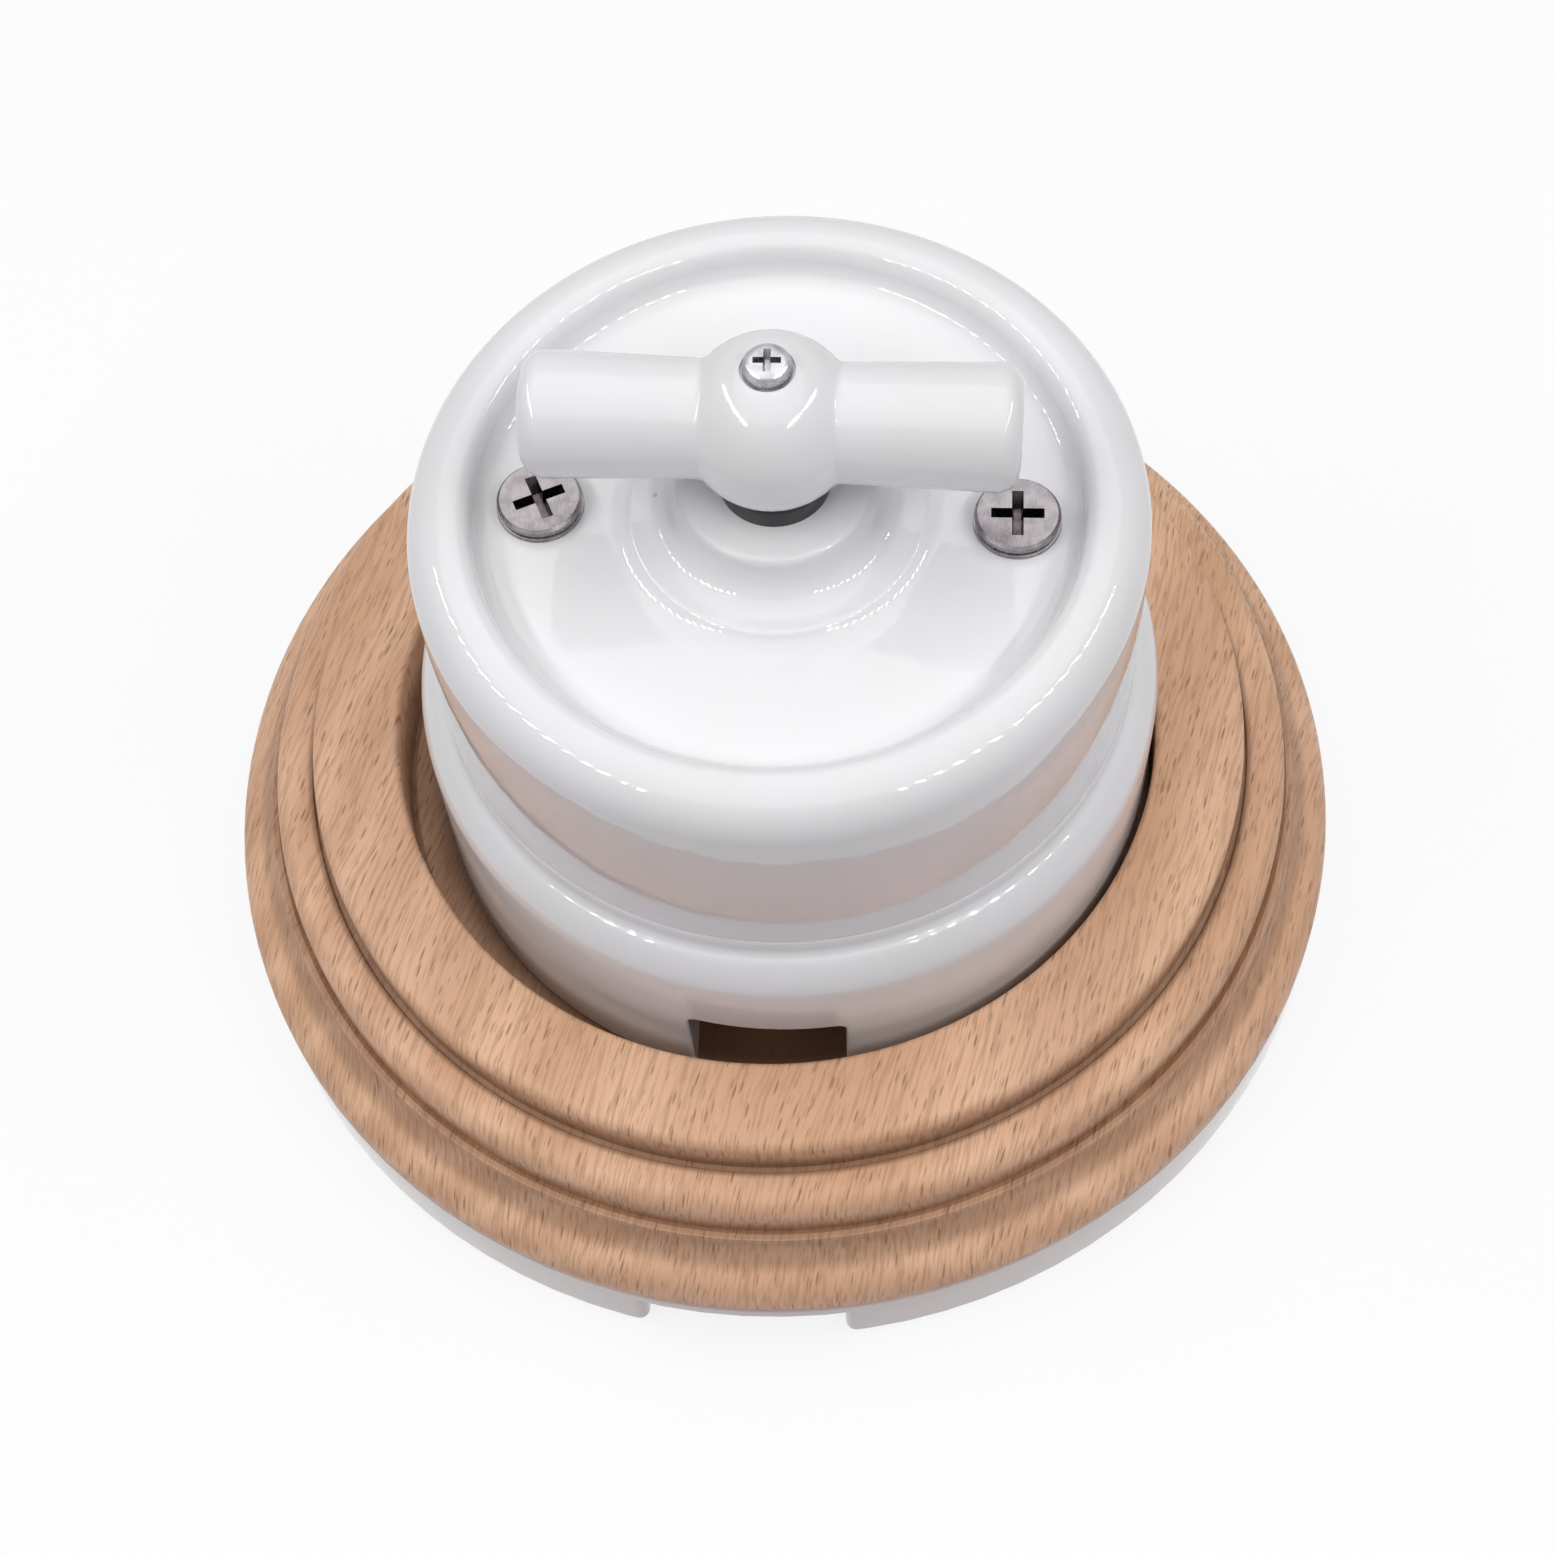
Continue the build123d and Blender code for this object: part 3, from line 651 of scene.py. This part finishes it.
def wood_shape():
    groove_floor = upper_groove + groove_width
    ogee_level = wood_foot + under_round_height + ogee_belly_height
    section = Section(cable_hole_radius, wood_foot)
    section.line((cable_hole_radius, recess_floor), (recess_radius, recess_floor))
    section.line((recess_radius, wood_top - recess_edge_round))
    section.arc(recess_radius + recess_edge_round, wood_top, start=(0, 1))
    section.line((top_land_radius, wood_top))
    section.arc(upper_groove, wood_top - top_shoulder, start=(1, 0))
    section.line((upper_groove, step_level - groove_sink), (groove_floor, step_level - groove_sink))
    section.arc(groove_floor + groove_width, step_level, start=(0, 1))
    section.line((middle_land, step_level))
    section.arc(lower_groove, step_level - middle_round, start=(1, 0))
    section.line((lower_groove, lower_step - groove_sink), (crest, lower_step), (ogee_top, lower_step))
    section.arc(ogee_top + ogee_cove_width, ogee_level, start=(0, -1))
    section.arc(wood_radius, wood_foot + under_round_height, start=section.heading)
    section.arc(wood_radius - under_round_width, wood_foot, start=(0, -1))
    return section.turned()


def cover_shape():
    crest_radius = cover_radius - rim_round
    section = Section(cover_inner_radius, seam)
    section.line((cover_radius - cover_foot_round, seam))
    section.arc(cover_radius, seam + cover_foot_round, start=(1, 0))
    section.line((cover_radius, cover_crest - rim_round))
    section.arc(crest_radius, cover_crest, start=(0, 1))
    section.arc(crest_radius - rim_slope / 2, cover_crest - dish_depth / 2, start=(-1, 0))
    section.arc(crest_radius - rim_slope, dish_level, start=section.heading)
    section.line((boss_foot_radius, dish_level))
    section.arc(boss_step_radius, dish_level + boss_step, start=(-1, 0))
    section.line((boss_ring_radius, dish_level + boss_step))
    section.arc(boss_crown_radius, boss_top - boss_round, start=(-1, 0))
    section.arc(boss_crown_radius - boss_round, boss_top, end=(-1, 0))
    section.line((bush_hole_radius, boss_top), (bush_hole_radius, boss_under))
    section.line((boss_pocket_radius, boss_under), (boss_pocket_radius, ceiling))
    section.line((cover_inner_radius - ceiling_round, ceiling))
    section.arc(cover_inner_radius, ceiling - ceiling_round, start=(1, 0))
    bm = section.turned()
    round_edges(bm, sharp_edges(bm, cover_edge_angle), cover_edge_round, cover_edge_segments)
    shift(bm, switch_x)
    return bm


def bush_shape():
    flange_foot = bush_top - bush_flange_height
    section = Section(bush_bore_radius, bush_low.z)
    section.line((bush_sleeve_radius, bush_low.z), (bush_sleeve_radius, flange_foot))
    section.line((bush_flange_radius, flange_foot), (bush_flange_radius, bush_top - bush_edge))
    section.arc(bush_flange_radius - bush_edge, bush_top, start=(0, 1))
    section.line((bush_bore_radius, bush_top))
    bm = section.turned(steps=BUSH_STEPS)
    shift(bm, switch_x)
    return bm


def washer_shape():
    section = Section(cover_screw_hole, washer_low.z)
    section.line((washer_radius, washer_low.z), (washer_radius, washer_high.z))
    section.line((cover_screw_hole, washer_high.z))
    bm = section.turned(steps=SCREW_STEPS)
    round_edges(bm, sharp_edges(bm, SHARP), washer_edge_round, washer_edge_segments)
    return bm


def cover_screw_shape():
    top = cover_screw_high.z
    seat = top - cover_head_height
    section = Section(0.0, cover_screw_low.z)
    section.line((cover_screw_radius, cover_screw_low.z), (cover_screw_radius, seat))
    section.line((cover_head_radius - head_under_edge, seat), (cover_head_radius, seat + head_under_edge))
    section.line((cover_head_radius, top - head_edge), (cover_head_radius - head_edge, top), (0.0, top))
    return section.turned(closed=False, steps=SCREW_STEPS)


def knob_screw_shape():
    top = knob_screw_high.z
    seat = top - knob_head_height
    section = Section(0.0, knob_screw_low.z)
    section.line((knob_shank_radius, knob_screw_low.z), (knob_shank_radius, seat), (knob_head_radius, seat))
    section.line((knob_head_radius, top - knob_head_round))
    section.arc(knob_head_radius - knob_head_round, top, start=(0, 1))
    section.line((0.0, top))
    bm = section.turned(closed=False, steps=SCREW_STEPS)
    shift(bm, switch_x)
    return bm


def plinth_screw_shape():
    # upside down: the head lies under the web of the back plate
    foot = plinth_screw_low.z
    seat = foot + plinth_head_height
    section = Section(0.0, foot)
    section.line((plinth_head_radius - plinth_head_round, foot))
    section.arc(plinth_head_radius, foot + plinth_head_round, start=(1, 0))
    section.line((plinth_head_radius, seat), (plinth_shank_radius, seat))
    section.line((plinth_shank_radius, plinth_screw_high.z - plinth_point_length), (0.0, plinth_screw_high.z))
    return section.turned(closed=False, steps=PLINTH_SCREW_STEPS)


def cross_cutter(reach, arm, depth, top, angle):
    # cross-shaped drive recess: a cube with its four sides drawn out, narrower at its floor
    bm = bmesh.new()
    bmesh.ops.create_cube(bm, size=arm)
    sides = [f for f in bm.faces if abs(f.normal.z) < 0.5]
    for face in sides:
        outward = face.normal.copy()
        grown = bmesh.ops.extrude_discrete_faces(bm, faces=[face])["faces"]
        bmesh.ops.translate(bm, verts=grown[0].verts, vec=outward * (reach - arm / 2))
    bmesh.ops.remove_doubles(bm, verts=bm.verts, dist=MERGE)
    low = [v for v in bm.verts if v.co.z < 0]
    high = [v for v in bm.verts if v.co.z > 0]
    bmesh.ops.scale(bm, vec=(cross_taper, cross_taper, 1.0), verts=low)
    bmesh.ops.scale(bm, vec=(2 - cross_taper, 2 - cross_taper, 1.0), verts=high)
    bmesh.ops.scale(bm, vec=(1.0, 1.0, 2 * depth / arm), verts=bm.verts)
    bmesh.ops.recalc_face_normals(bm, faces=bm.faces)
    turn(bm, math.radians(angle))
    shift(bm, z=top)
    return bm


def knob_shape():
    # ball and bar, turned about X in one outline, with a small fillet where the bar leaves the ball
    rise = (arm_end_radius - arm_root_radius) / (arm_half - arm_end_round)
    slant = math.hypot(1.0, rise)
    lift = arm_root_radius + arm_root_fillet * slant
    reach = hub_radius + arm_root_fillet
    fillet_x = (math.sqrt((reach * slant) ** 2 - lift ** 2) - rise * lift) / slant ** 2
    fillet_r = lift + rise * fillet_x
    bar_x = fillet_x + arm_root_fillet * rise / slant
    bar_r = fillet_r - arm_root_fillet / slant
    ball_x = fillet_x * hub_radius / reach
    ball_r = fillet_r * hub_radius / reach
    section = Section(-arm_half, 0.0)
    section.line((-arm_half, arm_end_radius - arm_end_round))
    section.arc(-arm_half + arm_end_round, arm_end_radius, end=(1, -rise))
    section.line((-bar_x, bar_r))
    section.arc(-ball_x, ball_r, start=(1, -rise))
    section.arc(ball_x, ball_r, start=section.heading)
    section.arc(bar_x, bar_r, start=section.heading)
    section.line((arm_half - arm_end_round, arm_end_radius))
    section.arc(arm_half, arm_end_radius - arm_end_round, start=(1, rise))
    section.line((arm_half, 0.0))
    bm = section.turned(closed=False, steps=KNOB_STEPS, axis=(1.0, 0.0, 0.0))
    shift(bm, switch_x, z=arm_level)
    cut_off(bm, (0.0, 0.0, hub_foot), (0.0, 0.0, -1.0))
    cut_off(bm, (0.0, 0.0, hub_top), (0.0, 0.0, 1.0))
    return bm


def drive_bore_shape():
    bm = rods([(switch_x, 0.0, drive_bore_radius, hub_foot - ROD_PAST, drive_bore_top)])
    for side in (-1, 1):
        cut_off(bm, (switch_x + side * drive_bore_flat, 0.0, 0.0), (side, 0.0, 0.0))
    return bm


# Finishes


class Nodes:
    """Short forms for building a node tree."""

    def __init__(self, tree):
        self.tree = tree

    def put(self, socket, value):
        # links another socket, or sets a plain value
        if isinstance(value, bpy.types.NodeSocket):
            self.tree.links.new(value, socket)
        else:
            socket.default_value = value

    def add(self, kind, values=None, **settings):
        made = self.tree.nodes.new(kind)
        for name, value in settings.items():
            setattr(made, name, value)
        for socket, value in (values or {}).items():
            self.put(made.inputs[socket], value)
        return made

    def number(self, operation, *values):
        return self.add("ShaderNodeMath", dict(enumerate(values)), operation=operation).outputs[0]

    def vector(self, operation, first, second):
        return self.add("ShaderNodeVectorMath", {0: first, 1: second}, operation=operation).outputs[0]

    def length(self, vector):
        return self.add("ShaderNodeVectorMath", {0: vector}, operation="LENGTH").outputs["Value"]

    def blend(self, factor, first, second):
        made = self.add("ShaderNodeMix", data_type="RGBA")
        tones = [s for s in made.inputs if s.type == "RGBA"]
        self.put(made.inputs[0], factor)
        self.put(tones[0], first)
        self.put(tones[1], second)
        return [s for s in made.outputs if s.type == "RGBA"][0]

    def remap(self, value, span, to=RISE, smooth=True):
        kind = "SMOOTHSTEP" if smooth else "LINEAR"
        values = {"Value": value, "From Min": span[0], "From Max": span[1], "To Min": to[0], "To Max": to[1]}
        return self.add("ShaderNodeMapRange", values, interpolation_type=kind).outputs[0]

    def noise(self, where, scale, detail, output=0):
        values = {"Vector": where, "Scale": scale, "Detail": detail}
        return self.add("ShaderNodeTexNoise", values).outputs[output]

    def cells(self, where, scale):
        # distance to the nearest of scattered points, and that point's own chance from 0 to 1
        made = self.add("ShaderNodeTexVoronoi", {"Vector": where, "Scale": scale}, feature="F1")
        chance = self.add("ShaderNodeSeparateColor", {"Color": made.outputs["Color"]}).outputs[0]
        return made.outputs["Distance"], chance

    def place(self, angle=0.0):
        # millimetres in the object's own frame, turned about Z
        here = self.add("ShaderNodeTexCoord").outputs["Object"]
        values = {"Vector": here, "Rotation": (0.0, 0.0, angle), "Scale": (1 / MM, 1 / MM, 1 / MM)}
        return self.add("ShaderNodeMapping", values).outputs[0]


def new_material(name):
    material = bpy.data.materials.new(name)
    material.use_nodes = True
    shader = material.node_tree.nodes["Principled BSDF"]
    return material, Nodes(material.node_tree), shader


def surface(nodes, shader, colour, roughness, height, bump):
    strength, depth = bump
    values = {"Height": height, "Strength": strength, "Distance": depth * MM}
    nodes.put(shader.inputs["Base Color"], colour)
    nodes.put(shader.inputs["Roughness"], roughness)
    nodes.put(shader.inputs["Normal"], nodes.add("ShaderNodeBump", values).outputs[0])


def effect_group(name, pattern):
    # a place and two tones go in, and a colour, a roughness and a height come out
    tree = bpy.data.node_groups.new(name, "ShaderNodeTree")
    inputs = {"Place": "Vector", "First Tone": "Color", "Second Tone": "Color"}
    outputs = {"Colour": "Color", "Roughness": "Float", "Height": "Float"}
    for label, kind in inputs.items():
        tree.interface.new_socket(label, in_out="INPUT", socket_type="NodeSocket" + kind)
    for label, kind in outputs.items():
        tree.interface.new_socket(label, in_out="OUTPUT", socket_type="NodeSocket" + kind)
    nodes = Nodes(tree)
    given = nodes.add("NodeGroupInput").outputs
    made = pattern(nodes, given["Place"], given["First Tone"], given["Second Tone"])
    nodes.add("NodeGroupOutput", dict(zip(outputs, made)))
    return tree


def tarnish_pattern(nodes, here, bright, dull):
    # cloudy tone and fine scratches on bare metal
    clouds = nodes.remap(nodes.noise(here, tarnish_scale, detail=4.0), tarnish_span)
    stretched = nodes.add("ShaderNodeMapping", {"Vector": here, "Scale": scratch_stretch}).outputs[0]
    scratches = nodes.remap(nodes.noise(stretched, scratch_scale, detail=3.0), scratch_span)
    rough = nodes.number("MULTIPLY_ADD", scratches, scratch_roughness, metal_roughness)
    return nodes.blend(clouds, bright, dull), rough, scratches


def moulded_pattern(nodes, here, dark, light):
    # cloudy tone and a fine grain on pressed resin
    clouds = nodes.remap(nodes.noise(here, moulding_cloud_scale, detail=5.0), plain_span)
    grain = nodes.noise(here, moulding_grain_scale, detail=2.0)
    rough = nodes.remap(grain, plain_span, moulding_roughness)
    return nodes.blend(clouds, dark, light), rough, grain


def glaze_pattern(nodes, here, thin, thick):
    # the glaze is a little uneven, thicker and cooler in patches, with rare dark specks
    cloud = nodes.noise(here, glaze_cloud_scale, detail=3.0)
    tone = nodes.blend(nodes.remap(cloud, glaze_cloud_span), thin, thick)
    distance, chance = nodes.cells(here, speck_scale)
    chosen = nodes.remap(chance, speck_chance)
    speck = nodes.number("MULTIPLY", nodes.remap(distance, speck_span, FADE), chosen)
    tone = nodes.blend(nodes.number("MULTIPLY", speck, speck_share), tone, speck_tone)
    ripple = nodes.noise(here, glaze_ripple_scale, detail=2.0)
    peel = nodes.noise(here, glaze_peel_scale, detail=1.0)
    height = nodes.number("MULTIPLY_ADD", peel, glaze_peel_share, ripple)
    return tone, nodes.remap(cloud, plain_span, glaze_roughness), height


def patterned(name, effect, tones, bump, **plain):
    # plain values go on the shader's own sockets
    material, nodes, shader = new_material(name)
    for socket, value in plain.items():
        shader.inputs[socket].default_value = value
    values = {"Place": nodes.place(), "First Tone": tones[0], "Second Tone": tones[1]}
    made = nodes.add("ShaderNodeGroup", values, node_tree=effect).outputs
    surface(nodes, shader, made["Colour"], made["Roughness"], made["Height"], bump)
    return material


def metal(name, tones):
    return patterned(name, tarnish, tones, metal_bump, Metallic=1.0)


def porcelain(name, tones):
    return patterned(name, glaze, tones, glaze_bump, IOR=glaze_ior)


def moulding(name, tones):
    return patterned(name, moulded, tones, moulding_bump)


def beech():
    material, nodes, shader = new_material("beech_oiled")
    shader.inputs["Specular IOR Level"].default_value = wood_specular
    # X runs across the grain, Y along it and Z up
    grain = nodes.place(math.radians(grain_turn))
    drift = nodes.noise(grain, grain_drift_scale, detail=2.0, output="Color")
    drift = nodes.vector("MULTIPLY", nodes.vector("SUBTRACT", drift, noise_middle), grain_drift)
    bent = nodes.vector("ADD", grain, drift)
    # growth rings are wide shells round a pith that lies deep under the plinth
    centred = nodes.vector("MULTIPLY", nodes.vector("SUBTRACT", bent, pith_place), pith_stretch)
    rings = nodes.number("MULTIPLY", nodes.length(centred), ring_rate)
    rings = nodes.remap(nodes.number("PINGPONG", rings, ring_half), ring_span)
    tone = nodes.blend(rings, *wood_ring_tones)
    # broad patches and long fibres
    patch = nodes.noise(bent, wood_patch_scale, detail=3.0)
    tone = nodes.blend(nodes.remap(patch, plain_span, wood_patch_share), tone, wood_patch_tone)
    fibre = nodes.noise(nodes.vector("MULTIPLY", bent, fibre_stretch), scale=1.0, detail=3.0)
    tone = nodes.blend(nodes.remap(fibre, fibre_span, fibre_share), tone, wood_fibre_tone)
    # medullary rays show as short dark flecks along the grain
    large = flecks(nodes, bent, large_fleck_cells, large_fleck_span)
    small = flecks(nodes, bent, small_fleck_cells, small_fleck_span)
    marks = nodes.number("MAXIMUM", large, nodes.number("MULTIPLY", small, small_fleck_share))
    tone = nodes.blend(nodes.number("MULTIPLY", marks, fleck_share), tone, wood_fleck_tone)
    # painted shade darkens the grooves, the cove and the recess
    tone = nodes.blend(painted_wood_shade(nodes), tone, wood_shade_tone)
    sunk = nodes.number("MULTIPLY", marks, fleck_height)
    height = nodes.number("MULTIPLY_ADD", fibre, fibre_height, sunk)
    surface(nodes, shader, tone, nodes.remap(fibre, plain_span, wood_roughness), height, wood_bump)
    return material


def flecks(nodes, where, cells, span):
    distance, chance = nodes.cells(nodes.vector("MULTIPLY", where, cells), scale=1.0)
    return nodes.number("MULTIPLY", nodes.remap(distance, span, FADE), nodes.remap(chance, fleck_chance))


def painted_wood_shade(nodes):
    # share of painted shade by radius and level on the plinth
    here = nodes.place()
    level = nodes.add("ShaderNodeSeparateXYZ", {0: here}).outputs["Z"]
    radius = nodes.length(nodes.vector("MULTIPLY", here, (1.0, 1.0, 0.0)))

    def band(centre, width, levels, share):
        # full within the first width and below the first level, gone past the second ones
        apart = nodes.number("ABSOLUTE", nodes.number("SUBTRACT", radius, centre))
        near = nodes.remap(apart, width, (share, 0.0))
        return nodes.number("MULTIPLY", near, nodes.remap(level, levels, FADE))

    bands = [
        band(upper_groove + 0.3, width=(0.35, 1.0), levels=(step_level + 0.2, step_level + 3.6), share=0.58),
        band(lower_groove + 0.35, width=(0.5, 1.0), levels=(lower_step + 0.2, lower_step + 3.0), share=0.4),
        band(ogee_top + 0.5, width=(0.5, 1.7), levels=(lower_step - 0.9, lower_step - 0.1), share=0.32),
        band(recess_radius, width=(0.3, 0.6), levels=(recess_floor + 1.0, wood_top - 0.2), share=0.5),
    ]
    # the recess floor under the switch is painted nearly black as shade
    under_switch = (recess_radius - 4.5, recess_radius - 0.2)
    shade_share = band(0.0, under_switch, levels=(recess_floor + 0.5, recess_floor + 2.0), share=0.95)
    for other in bands:
        shade_share = nodes.number("MAXIMUM", shade_share, other)
    return shade_share


tarnish = effect_group("tarnish", tarnish_pattern)
moulded = effect_group("moulded", moulded_pattern)
glaze = effect_group("glaze", glaze_pattern)
finishes = {
    "porcelain": porcelain("porcelain_glaze", glaze_tones),
    "beech": beech(),
    "zinc_steel": metal("zinc_steel", zinc_tones),
    "spring_steel": metal("spring_steel", spring_tones),
    "brass": metal("brass", brass_tones),
    "dark_moulding": moulding("dark_moulding", dark_moulding_tones),
    "brown_moulding": moulding("brown_moulding", brown_moulding_tones),
}
# porcelain for the back plate, with painted shade in its tone
plate_shaded_glaze = porcelain("plate_shaded_glaze", plate_shaded_glaze_tones)
# zinc darkened as painted shade in the drive recesses
shaded_recess_zinc = metal("shaded_recess_zinc", shaded_recess_zinc_tones)
bright_zinc = metal("bright_zinc", bright_zinc_tones)

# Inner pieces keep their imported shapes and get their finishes
for part in frame["record"]["subparts"]:
    mesh = frame["nodes"][part["node"]].data
    mesh.materials.clear()
    mesh.materials.append(finishes[part["material_slot"]])


def dressed(obj, node, slot, body="switch", material=None):
    mesh = obj.data
    mesh.materials.clear()
    mesh.materials.append(material or finishes[slot])
    mesh.shade_smooth()
    mesh.set_sharp_from_angle(angle=SHARP)
    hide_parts(node)
    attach(obj, body)


# Fixed pieces

plinth_spots = on_circle(plinth_screw_circle, plinth_screw_start, plinth_screw_count)
post_spots = [(switch_x + x, y) for x, y in on_circle(base_post_circle, base_post_start, base_post_count)]
cover_spots = {side: switch_x + side * cover_screw_spread for side in (-1, 1)}


def wall_holes(low, high):
    return [(x, 0.0, wall_hole_radius, low, high) for x in (-wall_hole_x, wall_hole_x)]


def add_back_plate():
    plate = as_object(back_plate_shape(), "back_plate_glazed")
    high = plate_top + ROD_PAST
    screw_holes = [(x, y, plate_screw_hole, plate_hollow - ROD_PAST, high) for x, y in plinth_spots]
    drill(plate, wall_holes(wall_level, high) + screw_holes)
    # painted shade: the plate gets the darker glaze
    dressed(plate, "back_plate", "porcelain", material=plate_shaded_glaze)


def add_plinth():
    plinth = as_object(wood_shape(), "wood_base_turned")
    low = wood_foot - ROD_PAST
    pilots = [(x, y, plinth_pilot_radius, low, wood_foot + plinth_pilot_depth) for x, y in plinth_spots]
    drill(plinth, wall_holes(low, recess_floor + ROD_PAST) + pilots)
    dressed(plinth, "wood_base", "beech")


def add_switch_base():
    base = as_object(switch_base_shape(), "switch_base_glazed")
    posts = [(x, y, base_post_radius, recess_floor, deck_under + ROD_PAST) for x, y in post_spots]
    combine(base, rods(posts), "UNION")
    low = deck_under - ROD_PAST
    high = deck_top + ROD_PAST
    holes = [(x, y, base_screw_hole, recess_floor - ROD_PAST, deck_top) for x, y in post_spots]
    holes += [(switch_x, y, wire_hole_radius, low, high) for y in (-wire_hole_y, wire_hole_y)]
    drill(base, holes)
    drill(base, [(x, y, base_head_hole, deck_top - base_head_sink, high) for x, y in post_spots])
    dressed(base, "switch_base", "porcelain")


def add_cover():
    cover = as_object(cover_shape(), "cover_glazed")
    low = ceiling - ROD_PAST
    drill(cover, [(x, 0.0, cover_screw_hole, low, dish_level + ROD_PAST) for x in cover_spots.values()])
    dressed(cover, "cover", "porcelain")


def add_cover_washers():
    washers = []
    for x in cover_spots.values():
        washer = washer_shape()
        shift(washer, x)
        washers.append(washer)
    dressed(as_object(joined(washers), "cover_washers_pressed"), "cover_washers", "zinc_steel")


def add_cover_screws():
    top = cover_screw_high.z
    heads = []
    for side, x in cover_spots.items():
        screw = as_object(cover_screw_shape(), "cover_screw_head")
        recess = cross_cutter(cross_reach, cross_arm, cross_depth, top, cover_cross_turns[side])
        combine(screw, recess, "DIFFERENCE")
        head = as_shape(screw)
        shift(head, x)
        heads.append(head)
    screws = as_object(joined(heads), "cover_screws_cross")
    dressed(screws, "cover_screws", "zinc_steel")
    # painted shade darkens the walls of the drive recesses
    screws.data.materials.append(shaded_recess_zinc)
    for face in screws.data.polygons:
        spot = face.center / MM
        near = min(math.hypot(spot.x - x, spot.y) for x in cover_spots.values())
        if near < recess_shade_reach and recess_shade_slack < top - spot.z < cross_depth + recess_shade_slack:
            face.material_index = 1


def add_bush():
    dressed(as_object(bush_shape(), "bush_turned"), "bush", "dark_moulding")


def add_plinth_screws():
    screws = []
    for x, y in plinth_spots:
        screw = plinth_screw_shape()
        shift(screw, x, y)
        screws.append(screw)
    dressed(as_object(joined(screws), "plinth_screws_round"), "plinth_screws", "zinc_steel")


# Turning pieces


def add_knob():
    knob = as_object(knob_shape(), "knob_skin")
    drill(knob, [(switch_x, 0.0, knob_seat_radius, hub_top - knob_head_sink, hub_top + ROD_PAST)])
    drill(knob, [(switch_x, 0.0, knob_screw_hole, drive_bore_top - knob_hole_past, hub_top)])
    combine(knob, drive_bore_shape(), "DIFFERENCE")
    dressed(knob, "knob", "porcelain", body="knob")


def add_knob_screw():
    screw = as_object(knob_screw_shape(), "knob_screw_cross")
    top = knob_screw_high.z
    recess = cross_cutter(knob_cross_reach, knob_cross_arm, knob_cross_depth, top, knob_cross_turn)
    shift(recess, switch_x)
    combine(screw, recess, "DIFFERENCE")
    dressed(screw, "knob_screw", "zinc_steel", body="knob", material=bright_zinc)


add_back_plate()
add_plinth()
add_switch_base()
add_cover()
add_cover_washers()
add_cover_screws()
add_bush()
add_plinth_screws()
add_knob()
add_knob_screw()

# Camera
turned_round = Matrix.Rotation(math.radians(view_turn), 4, "Z")
tilted = Matrix.Rotation(math.radians(90 - view_elevation), 4, "X")
rolled = Matrix.Rotation(math.radians(view_roll), 4, "Z")
aim = Matrix.Translation(Vector(view_aim) * MM)
back_off = Matrix.Translation((0.0, 0.0, view_distance * MM))
camera = bpy.data.objects.new("camera", bpy.data.cameras.new("camera"))
camera.data.sensor_width = film
camera.data.lens = film * photo_focal / photo_side
camera.data.clip_start = view_nearest * MM
camera.matrix_world = turned_round @ aim @ tilted @ rolled @ back_off
bpy.context.scene.collection.objects.link(camera)
bpy.context.scene.camera = camera


def lamp(name, place, aim_at, width, depth, power):
    data = bpy.data.lights.new(name, "AREA")
    data.shape = "RECTANGLE"
    data.size = width
    data.size_y = depth
    data.energy = power
    obj = bpy.data.objects.new(name, data)
    towards = Vector(aim_at) - Vector(place)
    obj.rotation_euler = towards.to_track_quat("-Z", "Y").to_euler()
    obj.location = place
    bpy.context.scene.collection.objects.link(obj)


# Studio light: a broad soft lamp above, and a row of small lamps on each side that streaks the glaze
lamp("overhead", overhead_place, overhead_aim, overhead_side, overhead_side, overhead_power)
for side in (-1, 1):
    for spot in range(row_lamps):
        point = row_near.lerp(row_far, spot / (row_lamps - 1))
        point.x *= side
        lamp(f"row_{side}_{spot}", point, row_aim, row_lamp_width, row_lamp_depth, row_power)


def seen_directly(nodes):
    path = nodes.add("ShaderNodeLightPath")
    seen = nodes.number("MAXIMUM", path.outputs["Is Camera Ray"], path.outputs["Is Glossy Ray"])
    return nodes.number("MAXIMUM", seen, path.outputs["Is Transmission Ray"])


# Air: a weak fill, and white where it is seen
world = bpy.data.worlds.new("studio")
world.use_nodes = True
bpy.context.scene.world = world
air = Nodes(world.node_tree)
background = world.node_tree.nodes["Background"]
air_seen = seen_directly(air)
air.put(background.inputs["Color"], air.blend(air_seen, air_fill_tone, WHITE))
air.put(background.inputs["Strength"], air.remap(air_seen, RISE, (air_fill, air_shown), smooth=False))

# Floor paper: warm grey as a bounce, and white where it is seen
floor_shape = bmesh.new()
bmesh.ops.create_grid(floor_shape, x_segments=1, y_segments=1, size=floor_half)
ground = as_object(floor_shape, "floor")
paper, paper_nodes, paper_shader = new_material("floor_paper")
paper_seen = seen_directly(paper_nodes)
paper_nodes.put(paper_shader.inputs["Base Color"], paper_nodes.blend(paper_seen, floor_bounce_tone, WHITE))
paper_shader.inputs["Roughness"].default_value = floor_roughness
white = paper_nodes.add("ShaderNodeEmission", {"Color": WHITE, "Strength": 1.0}).outputs[0]
white_share = paper_nodes.number("MULTIPLY", paper_seen, floor_white_share)
layers = {0: white_share, 1: paper_shader.outputs[0], 2: white}
paper_out = paper.node_tree.nodes["Material Output"]
paper_nodes.put(paper_out.inputs["Surface"], paper_nodes.add("ShaderNodeMixShader", layers).outputs[0])
ground.data.materials.append(paper)

bpy.context.scene.view_settings.view_transform = "Standard"
